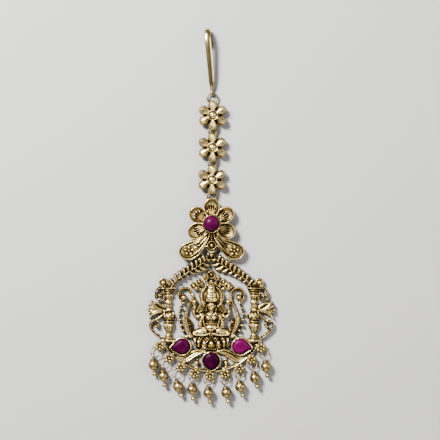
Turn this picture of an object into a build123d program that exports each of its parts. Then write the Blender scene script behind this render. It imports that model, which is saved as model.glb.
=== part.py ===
"""Maang tikka: a forehead ornament lying on its back, face up.

A hair hook, a ring, three six-petalled flowers, a blossom with two paisley leaves and a round
stone, and a pierced pendant with two pillars, a seated figure on a lotus, three pear stones and
nine swinging beads. The pieces are linked by jump rings that pass through loops on their backs.

Millimetres. +Y runs from the beads to the hook, +Z out of the face; the back rests on Z = 0 and
the origin is under the middle of the whole ornament.
"""

from build123d import *
import os
from math import cos, pi, radians, sin

# ---- where the pieces lie along the ornament: the local origin of each one
PENDANT_AT = (0.0, -33.27)
BLOSSOM_AT = (0.1, -2.30)
FLOWERS_AT = [(0.25, 12.37), (0.40, 23.07), (0.50, 33.77)]
HOOK_LEAN = 4.3  # degrees, how far the hook lies over to the left

# ---- chain rings, the loops that hold them, and the heights that follow from them
LINK_Z = 1.1  # height of a chain ring's plane
LINK_WIRE = 0.32  # radius of its wire
HOOK_RING_R = 1.65
HOOK_RING_SLACK = 0.15  # its wire lies this far off the middle of each loop it passes
HOOK_RING_SIDE = -0.15  # the ring lies this far left of the last flower's middle
HOOK_SIDE = -0.33  # and the hook's eye this far
LOOP_R = 0.80  # centre-line radius of a soldered loop
LOOP_WIRE = 0.26
LEAF_FLOOR = 1.6  # underside of the flowers' and the blossom's sheet
LEAF_TOP = 2.3

# ---- chain flowers
PETALS = 6
PETAL_OUT = 3.40  # petal centre from the flower's centre
PETAL_R = 1.66
PETAL_BALL = 1.90  # radius of the dome that a petal is cut from
FLOWER_LOOP = 4.05
BOSS_R = 1.70
BOSS_BALL = 1.02

# ---- blossom
BEZEL_R = 3.00
BEZEL_TOP = 3.9
ROUND_STONE_R = 2.56
STONE_FLOOR = 1.7
BLOSSOM_PETALS = (90, 33, 147, -25, 205)  # degrees
BLOSSOM_PETAL = (3.25, 2.75)  # half length and half width
BLOSSOM_PETAL_OUT = 5.35
BLOSSOM_TOP_LOOP = 7.72
BLOSSOM_TAIL_LOOP = -6.60
PENDANT_RING_R = 1.32
BORDER_W = 0.42  # width of a raised border wire

# ---- pendant
GROUND = 1.2  # thickness of the pierced plate
LEAF_HEIGHT = 1.6
LEAF_ROOT = 0.2  # radius of a leaf's root
WIRE_TOP = 2.0
WIRE_W = 0.58
RIM_R = 18.07  # the lower border is an arc of this radius
RIM_HALF_TURN = 62.5  # degrees each side of straight down
RIM_W = 0.7
PILLAR_X = 14.2
HALO_AT = (0.0, 6.83)
HALO_R = 4.15
GRAIN = 0.53  # radius of a granule
GRAIN_ARC = 10.05  # the granules stand on this arc, centred at GRAIN_X
GRAIN_X = 0.55
PENDANT_EYE = 21.77
PENDANT_EYE_R, PENDANT_EYE_WIRE = 0.70, 0.25
STONE_GAP = 0.05
PEAR_SEAT = 1.4
PEAR_TOP = 3.0
BEZEL_WALL = 0.58
# name: round end's centre, its radius, centre of the pointed end, radius there
PEARS = {
    "left": ((-9.67, -9.75), 2.48, (-12.75, -10.22), 0.45),
    "right": ((9.67, -9.75), 2.48, (12.75, -10.22), 0.45),
    "bottom": ((0.0, -14.55), 2.66, (0.0, -16.75), 0.75),
}

# ---- drops
DROP_ARC = 19.68  # the drop flowers' centres stand on this arc
DROP_PITCH = 14.8  # degrees
DROP_TURN = -1.2
DROP_FLOOR, DROP_TOP = 1.35, 1.85  # the little flower's disc
DROP_LOOP_Z = 0.80
DROP_LOOP_R, DROP_LOOP_WIRE = 0.58, 0.17
DROP_RING_R, DROP_RING_WIRE = 1.65, 0.20
BEAD_R = 1.80
BEAD_EYE = 3.0  # from the bead's centre to its eye's
TIP_R = 0.80
# how each drop lies: where its loop sits below the flower (mm), and which way its ring and its
# bead point, in degrees from straight down towards +X
DROPS = [
    (0.95, -36.0, 6.0),
    (0.65, -37.5, 8.0),
    (0.95, -28.0, 20.0),
    (-0.55, -27.0, 5.0),
    (-0.20, -20.0, 10.0),
    (0.10, -3.0, 12.0),
    (0.00, -9.0, 16.0),
    (0.00, 5.0, 16.0),
    (0.30, 20.0, 8.0),
]


def point(turn, radius=1.0, about=(0.0, 0.0)):
    """The point at an angle in degrees and a distance from another."""
    return (about[0] + radius * cos(radians(turn)), about[1] + radius * sin(radians(turn)))


def wire_of(*points):
    """One smooth wire through a few points."""
    with BuildLine(mode=Mode.PRIVATE) as line:
        Spline(*points)
    return line.wires()[0]


def scroll(start, heading, radii, turn):
    """A spiral of tangent quarter arcs with shrinking radii; turn is +90 or -90."""
    side = 1 if turn > 0 else -1
    with BuildLine(mode=Mode.PRIVATE) as line:
        here = start
        for radius in radii:
            centre = point(heading + side * 90, radius, here)
            CenterArc(centre, radius, heading - side * 90, turn)
            heading += turn
            here = point(heading - side * 90, radius, centre)
    return line.wires()[0]


def pear(centre, radius, tip, tip_radius, grow=0.0):
    """The outline of a pear: the hull of two circles, both grown by a margin."""
    with BuildSketch(mode=Mode.PRIVATE) as one:
        with Locations(centre):
            Circle(radius + grow)
        with Locations(tip):
            Circle(tip_radius + grow)
        make_hull()
    return one.sketch


def leaf(root, turn, length, width):
    """A leaf that is narrow at its root and round at its tip."""
    return pear(point(turn, length - width / 2, root), width / 2, root, LEAF_ROOT)


def area(points):
    """The face inside one smooth line and the straight line between its ends."""
    with BuildSketch(mode=Mode.PRIVATE) as one:
        with BuildLine():
            side = Spline(*points)
            Line(side @ 1, side @ 0)
        make_face()
    return one.sketch


def ribbon(points, width, samples=12):
    """A band of even width along a smooth line through a few points."""
    line = wire_of(*points)
    rails = []
    with BuildSketch(mode=Mode.PRIVATE) as one:
        with BuildLine():
            for side in (width / 2, -width / 2):
                steps = [k / samples for k in range(samples + 1)]
                rails.append(Spline(*[line @ t + (line % t).cross(Vector(0, 0, side))
                                      for t in steps]))
            Line(rails[0] @ 0, rails[1] @ 0)
            Line(rails[0] @ 1, rails[1] @ 1)
        make_face()
    return one.sketch


def bar(start, end, width):
    """A round-ended bar from one point to another, added to the sketch."""
    with BuildLine(mode=Mode.PRIVATE) as line:
        Line(start, end)
    SlotArc(line.wires()[0], width)


def loop(at, turn, radius=LOOP_R, wire=LOOP_WIRE):
    """A soldered loop standing on edge, in the plane of +Z and the given direction."""
    with Locations(Plane(origin=at, x_dir=(cos(radians(turn)), sin(radians(turn)), 0),
                         z_dir=(sin(radians(turn)), -cos(radians(turn)), 0))):
        Torus(radius, wire)


def ball(radius, *centres):
    """Granules of one size, added to the part."""
    with Locations(*centres):
        Sphere(radius)


def disc(radius, low, high, *centres):
    """Upright discs between two heights, added to the part."""
    with Locations(*[(x, y, low) for x, y in centres]):
        Cylinder(radius, high - low, align=(Align.CENTER, Align.CENTER, Align.MIN))


def limb(start, end, start_r, end_r):
    """A round limb from one ball to another, added to the part."""
    along = Vector(*end) - Vector(*start)
    flat = Plane(origin=start, x_dir=along, z_dir=along.cross(Vector(0, 0, 1)))
    with BuildSketch(flat, mode=Mode.PRIVATE) as half:
        add(pear((0, 0), start_r, (along.length, 0), end_r))
        with Locations((along.length / 2, 0)):
            Rectangle(along.length + 2 * (start_r + end_r), start_r + end_r,
                      align=(Align.CENTER, Align.MIN), mode=Mode.INTERSECT)
    revolve(half.sketch, axis=Axis(start, along))


def jump_ring(radius, wire_radius, plane):
    """A closed ring of round wire lying in a plane."""
    with BuildPart() as ring:
        with Locations(plane):
            Torus(radius, wire_radius)
    return ring.part


# ------------------------------------------------------------------ hook and chain
def make_hook():
    """A flat strip bent into a hook, its end turned a little aside, with an eye on edge below."""
    shank_y, bend_y, back_len = 0.8, 19.1, 1.0
    thick, back_z = 0.85, 0.65
    with BuildPart() as hook:
        with BuildSketch(Plane.YZ):
            with BuildLine(mode=Mode.PRIVATE) as side:
                shank = Line((shank_y, LINK_Z + 0.2), (bend_y, 4.15))
                bend = TangentArc(shank @ 1, (bend_y + 0.3, back_z), tangent=shank % 1)
                Line(bend @ 1, bend @ 1 + (bend % 1) * back_len)
            SlotArc(side.wires()[0], thick)
        extrude(amount=1.6, both=True)
        with BuildSketch() as front:
            with BuildLine() as edge:
                low = Line((-0.5, -0.2), (0.5, -0.2))
                right = Spline(low @ 1, (0.62, 2.2), (0.86, 4.2), (0.82, 8.0), (0.95, 14.0),
                               (1.15, 19.0), (1.15, 21.8))
                Line(right @ 1, (-1.15, 21.8))
                mirror(right, about=Plane.YZ)
            make_face()
        extrude(amount=6.0, mode=Mode.INTERSECT)
        with BuildSketch(Plane.XY.offset(back_z - thick / 2 + 0.02)):
            with BuildLine():
                end = Line((1.55, 15.3), (0.3, 15.3))
                left = Spline(end @ 1, (-0.2, 17.0), (-1.0, 19.7))
                top = Line(left @ 1, (1.3, 20.2))
                Spline(top @ 1, (1.72, 18.6), (1.78, 16.8), end @ 0)
            make_face()
        extrude(amount=thick - 0.04)
        loop((0, 0, LINK_Z), 90)
    hook.part.label = "hair_hook"
    return hook.part


def make_flower():
    """A six-petalled flower: domed petals round a ringed ball, a loop behind two of them."""
    with BuildPart() as flower:
        with BuildSketch(Plane.XY.offset(LEAF_FLOOR)):
            with PolarLocations(PETAL_OUT, PETALS, start_angle=30):
                Circle(PETAL_R)
            Circle(PETAL_OUT * 0.72)
        extrude(amount=LEAF_TOP - LEAF_FLOOR)
        with Locations((0, 0, LEAF_TOP - 0.01)):
            with PolarLocations(PETAL_OUT, PETALS, start_angle=30):
                Sphere(PETAL_BALL, arc_size1=30, arc_size2=90,
                       align=(Align.CENTER, Align.CENTER, Align.MIN))
        disc(BOSS_R, LEAF_FLOOR, LEAF_FLOOR + 1.35, (0, 0))
        ball(BOSS_BALL, (0, 0, 3.05))
        loop((0, FLOWER_LOOP, LINK_Z), 90)
        loop((0, -FLOWER_LOOP, LINK_Z), 90)
    return flower.part


# ------------------------------------------------------------------ blossom
PAISLEY = [(1.0, -2.2), (3.6, -5.1), (7.0, -6.1), (10.0, -7.4), (10.6, -9.6), (8.6, -11.7),
           (5.2, -10.8), (2.2, -7.6), (0.5, -3.6)]
PAISLEY_VEINS = [[(1.6, -3.3), (3.7, -6.6), (6.2, -8.2)], [(1.1, -4.2), (3.0, -7.5), (5.8, -9.3)]]
FLORET_AT = (7.55, -8.95)


def make_blossom():
    """Five cupped petals and two paisley leaves round a collet, with a tail below."""
    with BuildPart() as blossom:
        with BuildSketch(Plane.XY.offset(LEAF_FLOOR)):
            for turn in BLOSSOM_PETALS:
                with Locations(Location((*point(turn, BLOSSOM_PETAL_OUT), 0), turn)):
                    Ellipse(*BLOSSOM_PETAL)
            add(area(PAISLEY))
            mirror(about=Plane.YZ)
            Polygon((-1.2, -2.4), (1.2, -2.4), (1.9, -7.9), (-1.9, -7.9), align=None)
            Circle(BEZEL_R)
        extrude(amount=LEAF_TOP - LEAF_FLOOR)
        with BuildSketch(Plane.XY.offset(LEAF_FLOOR)):  # the raised borders
            for turn in BLOSSOM_PETALS:
                with Locations(Location((*point(turn, BLOSSOM_PETAL_OUT), 0), turn)):
                    Ellipse(*BLOSSOM_PETAL)
                    Ellipse(BLOSSOM_PETAL[0] - BORDER_W, BLOSSOM_PETAL[1] - BORDER_W,
                            mode=Mode.SUBTRACT)
            add(ribbon(PAISLEY, BORDER_W))
            mirror(about=Plane.YZ)
        extrude(amount=1.3)
        with BuildSketch(Plane.XY.offset(LEAF_TOP - 0.1)):  # veins
            for turn in BLOSSOM_PETALS:
                for fan in (-15, 0, 15):
                    with Locations(Location((*point(turn + fan, 4.6), 0), turn + fan)):
                        SlotOverall(3.6, 0.3)
            add([ribbon(vein, 0.3) for vein in PAISLEY_VEINS])
            mirror(about=Plane.YZ)
        extrude(amount=0.4)
        disc(BEZEL_R, 0.7, BEZEL_TOP, (0, 0))
        with Locations((0, 0, STONE_FLOOR)):
            Cylinder(ROUND_STONE_R + STONE_GAP, 4.0, mode=Mode.SUBTRACT,
                     align=(Align.CENTER, Align.CENTER, Align.MIN))
        disc(1.5, LEAF_TOP - 0.1, LEAF_TOP + 0.6, (0, -7.1))
        ball(0.75, (0, -7.1, 3.1))
        for side in (1, -1):
            heart = (side * FLORET_AT[0], FLORET_AT[1])
            ball(0.55, (*heart, 2.45),
                 *[(*point(72 * k + 90, 1.05, heart), 2.35) for k in range(5)])
        loop((0, BLOSSOM_TOP_LOOP, LINK_Z), 90)
        loop((0, BLOSSOM_TAIL_LOOP, LINK_Z), 90)
    blossom.part.label = "blossom"
    return blossom.part


def make_round_stone():
    """A round cabochon: a short drum with a domed top."""
    girdle = 3.5
    with BuildPart() as stone:
        disc(ROUND_STONE_R, STONE_FLOOR + STONE_GAP, girdle, (0, 0))
        dome = ROUND_STONE_R / cos(radians(30))
        with Locations((0, 0, girdle)):
            Sphere(dome, arc_size1=30, arc_size2=90,
                   align=(Align.CENTER, Align.CENTER, Align.MIN))
    stone.part.label = "blossom_stone"
    return stone.part


# ------------------------------------------------------------------ pendant: the outlines
STEM = [(0.95, 20.5), (2.6, 18.1), (7.8, 14.8), (11.8, 12.1), (13.4, 9.6)]
BIG_SCROLL = [(6.17, 7.5), (6.5, 5.9), (7.4, 4.1), (8.35, 1.9), (8.85, -1.0), (8.4, -3.6),
              (7.6, -6.4)]
BIG_SCROLL_BODY = [(6.6, -6.4), (8.3, -4.2), (8.9, -1.0), (8.2, 2.1), (7.9, 0.2), (7.7, -3.0)]
LOW_SCROLL = [(15.6, -7.5), (17.8, -6.1), (19.5, -4.8), (20.4, -3.4), (20.45, -2.2),
              (19.8, -1.5), (18.9, -1.3), (18.0, -1.75), (17.75, -2.6), (18.3, -3.3)]
UPPER_ACANTHUS = [(14.8, 1.9), (17.6, 2.3), (19.9, 3.3), (20.5, 4.5), (19.7, 5.4), (18.3, 3.9),
                  (16.5, 2.7)]
LOWER_ACANTHUS = [(14.8, 1.9), (17.8, 1.8), (20.0, 1.1), (20.5, -0.1), (19.0, -0.2), (17.0, 1.0)]
LOW_LEAF = [(2.6, -11.3), (4.6, -11.0), (6.6, -12.0), (8.8, -13.6), (12.0, -13.3), (9.8, -14.6),
            (7.6, -14.9), (5.6, -14.1), (3.6, -12.6)]
LOTUS = [(6.9, -6.2), (6.5, -8.0), (5.6, -9.8), (3.9, -11.0), (0.0, -11.5), (-3.9, -11.0),
         (-5.6, -9.8), (-6.5, -8.0), (-6.9, -6.2)]
# the pillar from its top slab down to its foot: y, half width
PILLAR = [(9.77, 2.27), (9.2, 2.27), (9.1, 1.9), (8.6, 1.9), (8.5, 1.6), (8.0, 1.6),
          (7.9, 1.4), (7.4, 1.4), (7.0, 1.2), (5.5, 1.0), (5.4, 1.25), (4.4, 1.25), (4.3, 1.0),
          (2.8, 1.0), (2.7, 1.25), (1.9, 1.25), (1.7, 1.2), (0.9, 2.05), (0.1, 2.3), (-0.7, 2.1),
          (-1.2, 1.7), (-1.3, 1.85), (-1.9, 1.85), (-2.0, 1.7), (-3.0, 1.8), (-4.0, 1.6),
          (-5.2, 1.0), (-5.6, 0.85), (-6.4, 1.2), (-7.3, 1.7), (-7.5, 2.2), (-8.3, 2.2)]
# the cupped petals above the halo: centre and radius
FAN = [((2.0, 13.05), 0.95), ((3.8, 11.8), 1.1), ((5.5, 10.4), 1.25)]


def spray_leaves():
    """The leaves along both sides of the right-hand stem."""
    stem = wire_of(*STEM)
    leaves = []
    for k in range(9):
        t = 0.10 + 0.105 * k
        root = stem @ t
        length = 1.5 + 1.4 * sin(pi * (0.15 + 0.70 * t))
        leaves.append(leaf((root.X, root.Y), 108 - 45 * t, length, 1.15))
    for k in range(8):
        t = 0.08 + 0.115 * k
        root = stem @ t
        swell = sin(pi * (0.2 + 0.75 * t))
        leaves.append(leaf((root.X, root.Y), 218 - 28 * t, 1.2 + 1.9 * swell, 0.75 + 0.6 * swell))
    return leaves


def grain_places():
    """The six granules of the right-hand row."""
    return [point(5.5 + 11.0 * k, GRAIN_ARC, (GRAIN_X, 0)) for k in range(-3, 3)]


def wire_lines():
    """The raised wires and slabs of the pendant, added to the sketch."""
    add([ribbon(STEM, WIRE_W), ribbon(LOW_SCROLL, WIRE_W, 20), ribbon(BIG_SCROLL, WIRE_W)])
    SlotArc(scroll((15.6, 10.35), 0, (3.1, 1.75, 1.35, 0.85, 0.6), -90), WIRE_W)
    SlotArc(scroll((9.3, 6.2), 0, (1.45, 2.2, 2.4), 90), WIRE_W)
    with Locations((16.0, 11.45)):
        Circle(1.25)
    with Locations((7.4, -6.55)):
        Rectangle(2.2, 0.75)
    mirror(about=Plane.YZ)
    with BuildLine(mode=Mode.PRIVATE) as rim:
        CenterArc((0, 0), RIM_R, -90 - RIM_HALF_TURN, 2 * RIM_HALF_TURN)
    SlotArc(rim.wires()[0], RIM_W)


def leaf_outlines():
    """Every leaf of the pendant, added to the sketch."""
    fan = [pear((x, y), radius, ((x + HALO_AT[0]) / 2, (y + HALO_AT[1]) / 2), 0.5)
           for (x, y), radius in FAN]
    add([*spray_leaves(), *fan, area(UPPER_ACANTHUS), area(LOWER_ACANTHUS), area(LOW_LEAF),
         area(BIG_SCROLL_BODY), leaf((16.0, 3.2), 12, 3.2, 0.9), leaf((16.0, 0.6), -18, 3.2, 0.9),
         leaf((17.6, 2.2), 0, 3.8, 1.0), leaf((7.2, -4.6), 80, 4.7, 1.4)])
    mirror(about=Plane.YZ)


# the plate behind the right-hand arm, hand, knee and bud: start, end, width
FIGURE_BARS = [((0.0, 1.0), (5.7, 0.6), 1.1), ((5.7, 0.6), (5.5, 4.5), 0.9),
               ((5.5, 4.5), (7.4, 4.5), 0.8), ((2.5, 0.3), (3.8, -3.6), 1.3),
               ((0.0, -5.2), (5.6, -5.5), 2.4)]


def plate_outlines():
    """The low plate behind the figure, the pillars and the granules, added to the sketch."""
    with Locations((PILLAR_X, 0.7)):
        Rectangle(1.9, 18.0)
    Polygon((12.6, 9.4), (17.3, 9.4), (17.0, 10.7), (14.3, 11.2), (13.2, 10.9), align=None)
    bar((16.2, 3.6), (16.2, 0.2), 0.6)
    bar((14.2, 1.9), (18.0, 2.2), 0.8)
    bar((7.4, -6.6), (7.2, -3.6), 0.8)
    bar((4.8, -17.9), (4.8, -13.0), 0.5)
    for start, end, width in FIGURE_BARS:
        bar(start, end, width)
    with BuildLine(mode=Mode.PRIVATE) as strip:
        CenterArc((GRAIN_X, 0), GRAIN_ARC, -44, 80)
    SlotArc(strip.wires()[0], 0.5)
    mirror(about=Plane.YZ)
    add(area(LOTUS))
    with Locations(HALO_AT):
        Circle(HALO_R)
    bar((0, 14.0), (0, 0), 1.0)
    with Locations((0, 13.95)):
        Circle(1.5)
    Polygon((-1.25, 21.2), (1.25, 21.2), (1.5, 19.4), (-1.5, 19.4), align=None)
    with Locations((0, -2.0)):
        Ellipse(2.8, 4.6)
    bar((0, -10), (0, -13), 1.2)


# ------------------------------------------------------------------ pendant: the relief
def make_pillars():
    """The two turned pillars, half sunk in the plate, with their rows of granules."""
    axis_z = GROUND - 0.4
    with BuildPart() as pillars:
        for x in (PILLAR_X, -PILLAR_X):
            with BuildSketch(Plane.XY.offset(axis_z)):
                with BuildLine():
                    Polyline((x, PILLAR[0][0]), *[(x + half, y) for y, half in PILLAR],
                             (x, PILLAR[-1][0]), close=True)
                make_face()
            revolve(axis=Axis((x, 0, axis_z), (0, -1, 0)), revolution_arc=180)
            for row, reach in ((4.87, 1.15), (2.3, 1.15), (-2.83, 1.75)):
                ring = [point(turn, reach) for turn in (30, 60, 90, 120, 150)]
                ball(0.42, *[(x + across, row, axis_z + up) for across, up in ring])
    return pillars.part


def make_figure():
    """The seated figure on its lotus, in front of the halo."""
    crown = [(0, 12.1), (0.5, 11.6), (0.7, 11.0), (1.35, 10.0), (1.8, 8.4), (2.0, 6.9), (1.95, 5.4),
             (0, 5.2)]
    crown_z, head_z = 1.6, 2.4
    with BuildPart() as figure:
        with BuildSketch(Plane.XY.offset(crown_z)):
            with BuildLine():
                Polyline(*crown, close=True)
            make_face()
        revolve(axis=Axis((0, 0, crown_z), (0, -1, 0)), revolution_arc=180)
        ball(1.42, (0, 4.2, head_z))
        ball(1.08, (0, 3.2, head_z))
        limb((0, 2.4, 2.2), (0, 1.2, 2.1), 0.75, 1.0)
        limb((0, 0.6, 2.0), (0, -2.9, 2.1), 1.75, 1.3)
        for side in (1, -1):
            limb((side * 2.3, 1.0, 2.0), (side * 5.6, 0.7, 1.5), 0.75, 0.5)
            limb((side * 5.6, 0.7, 1.5), (side * 5.4, 3.8, 1.5), 0.42, 0.36)
            ball(0.85, (side * 5.55, 4.6, 1.5))
            limb((side * 2.5, 0.6, 2.2), (side * 3.5, -1.6, 2.4), 0.65, 0.5)
            limb((side * 3.5, -1.7, 2.4), (side * 3.75, -3.4, 2.4), 0.75, 0.55)
            limb((side * 1.0, -3.9, 2.2), (side * 5.2, -5.0, 1.9), 1.25, 1.0)
            limb((side * 4.9, -5.4, 1.9), (-side * 0.5, -5.5, 2.5), 0.8, 0.6)
    return figure.part


def make_lotus():
    """The lotus seat: two tiers of round petals on a block."""
    with BuildPart() as lotus:
        with BuildSketch(Plane.XY.offset(0.3)):
            add(area([(x * 0.93, y) for x, y in LOTUS]))
        extrude(amount=1.7)
        for tier, reach, count in ((1.7, 5.6, 7), (2.1, 4.3, 6)):
            turns = [-75 + 150 * k / (count - 1) for k in range(count)]
            drop = -7.4 - 0.9 * (tier - 1.7) * 5
            ball(1.05, *[(reach * sin(radians(turn)), drop - 0.5 * cos(radians(turn)), tier)
                         for turn in turns])
    return lotus.part


def make_drop_flower(number, seat, ring_turn):
    """One little flower on its stalk at the border, with the loop of its jump ring behind it."""
    turn = -90 + DROP_TURN + DROP_PITCH * number
    heart = point(turn, DROP_ARC)
    with BuildPart() as flower:
        disc(1.1, DROP_FLOOR, DROP_TOP, heart)
        with BuildSketch(Plane.XY.offset(DROP_FLOOR)):
            bar(point(turn, DROP_ARC - 1.8), heart, 0.8)
        extrude(amount=DROP_TOP - DROP_FLOOR)
        with Locations(*[(*point(60 * k + 90, 1.12, heart), DROP_FLOOR + 0.1) for k in range(6)]):
            Cone(0.52, 0.3, 0.8, align=(Align.CENTER, Align.CENTER, Align.MIN))
        ball(0.42, (*heart, 2.1))
        loop((*point(-90 + ring_turn, seat, heart), DROP_LOOP_Z), -90 + ring_turn, DROP_LOOP_R,
             DROP_LOOP_WIRE)
    return flower.part


def make_cast():
    """The pierced plate with its wires, leaves, collets, pillars and figure."""
    with BuildPart() as cast:
        with BuildSketch():
            plate_outlines()
        extrude(amount=GROUND)
        with BuildSketch():
            leaf_outlines()
        extrude(amount=LEAF_HEIGHT)
        with BuildSketch():
            wire_lines()
        extrude(amount=WIRE_TOP)
        with BuildSketch():
            add([pear(*shape, BEZEL_WALL) for shape in PEARS.values()])
        extrude(amount=PEAR_TOP)
        with BuildSketch(Plane.XY.offset(PEAR_SEAT)):
            add([pear(*shape, STONE_GAP) for shape in PEARS.values()])
        extrude(amount=4.0, mode=Mode.SUBTRACT)
    return cast.part


def make_pendant():
    """The cast pendant with its nine drop flowers, in one piece."""
    with BuildPart() as pendant:
        add([make_cast(), make_pillars(), make_figure(), make_lotus()])
        sides = [(side * x, y, GROUND + 0.1) for side in (1, -1) for x, y in grain_places()]
        ball(GRAIN, *sides)
        ball(0.95, (16.0, 11.45, 1.5), (-16.0, 11.45, 1.5))
        ball(0.85, (4.8, -15.3, 1.3), (-4.8, -15.3, 1.3))
        disc(0.85, 0.6, 1.45, (9.1, 6.55), (-9.1, 6.55))
        ball(0.68, (9.1, 6.55, 1.65), (-9.1, 6.55, 1.65))
        disc(1.45, GROUND - 0.2, GROUND + 0.7, (0, 13.95))
        ball(0.6, (0, 14.0, 2.0))
        add([make_drop_flower(number - 4, seat, ring_turn)
             for number, (seat, ring_turn, _) in enumerate(DROPS)])
        loop((0, PENDANT_EYE, LINK_Z), 90, PENDANT_EYE_R, PENDANT_EYE_WIRE)
    pendant.part.label = "pendant"
    return pendant.part


def make_pear_stone(shape):
    """A low pear cabochon: straight to the collet's lip, then stepped in to a small crown."""
    centre, radius, tip, tip_radius = shape
    steps = [(2.55, 0.0), (3.2, 0.3), (3.5, 0.75)]
    with BuildPart() as stone:
        with BuildSketch(Plane.XY.offset(PEAR_SEAT + STONE_GAP)):
            add(pear(*shape))
        extrude(amount=steps[0][0] - PEAR_SEAT - STONE_GAP)
        for (low, in_low), (high, in_high) in zip(steps, steps[1:]):
            for height, margin in ((low, in_low), (high, in_high)):
                with BuildSketch(Plane.XY.offset(height)):
                    add(pear(centre, radius - margin, tip, tip_radius - margin * tip_radius))
            loft(ruled=True)
    return stone.part


# ------------------------------------------------------------------ drops
def on_ball(radius):
    """A point of the bead's outline: this far from its axis, and as far along it as the ball is."""
    return radius, (BEAD_R**2 - radius**2) ** 0.5


def make_drop(number, seat, ring_turn, bead_turn):
    """One jump ring and the bead that it carries, in the pendant's frame."""
    turn = -90 + DROP_TURN + DROP_PITCH * number
    flower = point(turn, DROP_ARC)
    reach = 2 * DROP_RING_R
    rise = BEAD_R - DROP_LOOP_Z
    flat = (reach**2 - rise**2) ** 0.5
    top = point(-90 + ring_turn, seat, flower)
    eye = point(-90 + ring_turn, flat, top)
    low, high = Vector(*top, DROP_LOOP_Z), Vector(*eye, BEAD_R)
    along = (high - low).normalized()
    across = Vector(0, 0, 1).cross(along).normalized()
    ring = jump_ring(DROP_RING_R, DROP_RING_WIRE,
                     Plane(origin=(low + high) / 2, x_dir=across, z_dir=across.cross(along)))
    bead_dir = point(-90 + bead_turn)
    centre = Vector(*point(-90 + bead_turn, BEAD_EYE, eye), BEAD_R)
    # the ball's arc ends where its cap and its pin start, so its centre stays on the axis
    cap_x, cap_y = on_ball(0.72)
    pin_x, pin_y = on_ball(0.6)
    with BuildPart() as bead:
        with BuildSketch(Plane.XZ):
            with BuildLine():
                Polyline((0, -2.5), (0.22, -2.5), (0.24, -2.1), (0.95, -2.05), (0.95, -1.8),
                         (cap_x, -cap_y))
                ThreePointArc((cap_x, -cap_y), (BEAD_R, 0), (pin_x, pin_y))
                Polyline((pin_x, pin_y), (0.35, 1.8), (0.35, 2.4), (0, 2.4))
                Line((0, 2.4), (0, -2.5))
            make_face()
        revolve(axis=Axis.Z)
        with Locations((0, 0, 3.0)):
            Sphere(TIP_R)
        half_way = radians(ring_turn - bead_turn) / 2
        with Locations(Plane(origin=(0, 0, -BEAD_EYE), z_dir=(0, cos(half_way), sin(half_way)))):
            Torus(0.55, 0.17)
    lie = Plane(origin=centre, x_dir=(0, 0, 1), z_dir=(*bead_dir, 0))
    return ring, lie.location * bead.part


# ------------------------------------------------------------------ assembly
def moved(piece, at, name, turn=0.0):
    """A piece carried from its own frame to its place on the ornament."""
    placed = piece.moved(Location((at[0], at[1], 0), (0, 0, turn)))
    placed.label = name
    return placed


def make_links():
    """The jump rings of the chain, each lying flat between the two loops that it joins."""
    loops = [(x, y + s * FLOWER_LOOP) for x, y in FLOWERS_AT for s in (-1, 1)]
    top = (BLOSSOM_AT[0], BLOSSOM_AT[1] + BLOSSOM_TOP_LOOP)
    tail = (BLOSSOM_AT[0], BLOSSOM_AT[1] + BLOSSOM_TAIL_LOOP)
    eye = (PENDANT_AT[0], PENDANT_AT[1] + PENDANT_EYE)
    pairs = {"pendant_ring": (eye, tail), "chain_ring_1": (top, loops[0]),
             "chain_ring_2": (loops[1], loops[2]), "chain_ring_3": (loops[3], loops[4])}
    made = []
    for name, (low, high) in pairs.items():
        mid = ((low[0] + high[0]) / 2, (low[1] + high[1]) / 2, LINK_Z)
        radius = (Vector(*high) - Vector(*low)).length / 2
        made.append((name, jump_ring(radius, LINK_WIRE, Plane(origin=mid))))
    x, low_y = loops[5]
    ring_y = low_y + HOOK_RING_SLACK + HOOK_RING_R
    ring_at = (x + HOOK_RING_SIDE, ring_y, LINK_Z)
    made.append(("hook_ring", jump_ring(HOOK_RING_R, LINK_WIRE, Plane(origin=ring_at))))
    return made, (x + HOOK_SIDE, ring_y + HOOK_RING_R + HOOK_RING_SLACK)


def make_all():
    """Every piece in its place, by name."""
    pieces = {}
    links, hook_at = make_links()
    pieces["hair_hook"] = moved(make_hook(), hook_at, "hair_hook", HOOK_LEAN)
    flower = make_flower()
    for number, at in enumerate(FLOWERS_AT, 1):
        pieces[f"chain_flower_{number}"] = moved(flower, at, f"chain_flower_{number}")
    pieces["blossom"] = moved(make_blossom(), BLOSSOM_AT, "blossom")
    pieces["blossom_stone"] = moved(make_round_stone(), BLOSSOM_AT, "blossom_stone")
    pieces["pendant"] = moved(make_pendant(), PENDANT_AT, "pendant")
    for side, shape in PEARS.items():
        pieces[f"pear_stone_{side}"] = moved(make_pear_stone(shape), PENDANT_AT,
                                             f"pear_stone_{side}")
    for name, ring in links:
        pieces[name] = moved(ring, (0, 0), name)
    for number, lie in enumerate(DROPS, 1):
        ring, bead = make_drop(number - 5, *lie)
        pieces[f"drop_ring_{number}"] = moved(ring, PENDANT_AT, f"drop_ring_{number}")
        pieces[f"drop_bead_{number}"] = moved(bead, PENDANT_AT, f"drop_bead_{number}")
    return pieces


if __name__ == "__main__":
    os.makedirs("parts", exist_ok=True)
    parts = make_all()
    boxes = [piece.bounding_box() for piece in parts.values()]
    low = [min(tuple(box.min)[k] for box in boxes) for k in range(3)]
    high = [max(tuple(box.max)[k] for box in boxes) for k in range(3)]
    middle = Location((-(low[0] + high[0]) / 2, -(low[1] + high[1]) / 2, -low[2]))
    for name, piece in parts.items():
        placed = piece.moved(middle)
        placed.label = name
        export_step(placed, f"parts/{name}.step")
    print("shifted by", middle.position, "size", [high[k] - low[k] for k in range(3)])
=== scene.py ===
"""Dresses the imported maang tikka: cast relief, cut beads, stones, gold and ruby finishes.

The relief pieces are height maps over fine grids, built from strokes, ovals and turned profiles in
millimetres about each piece's own centre, then cut out and closed behind as solid castings.
"""
from math import acos, asin, atan2, copysign, cos, degrees, pi, radians, sin, sqrt

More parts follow.
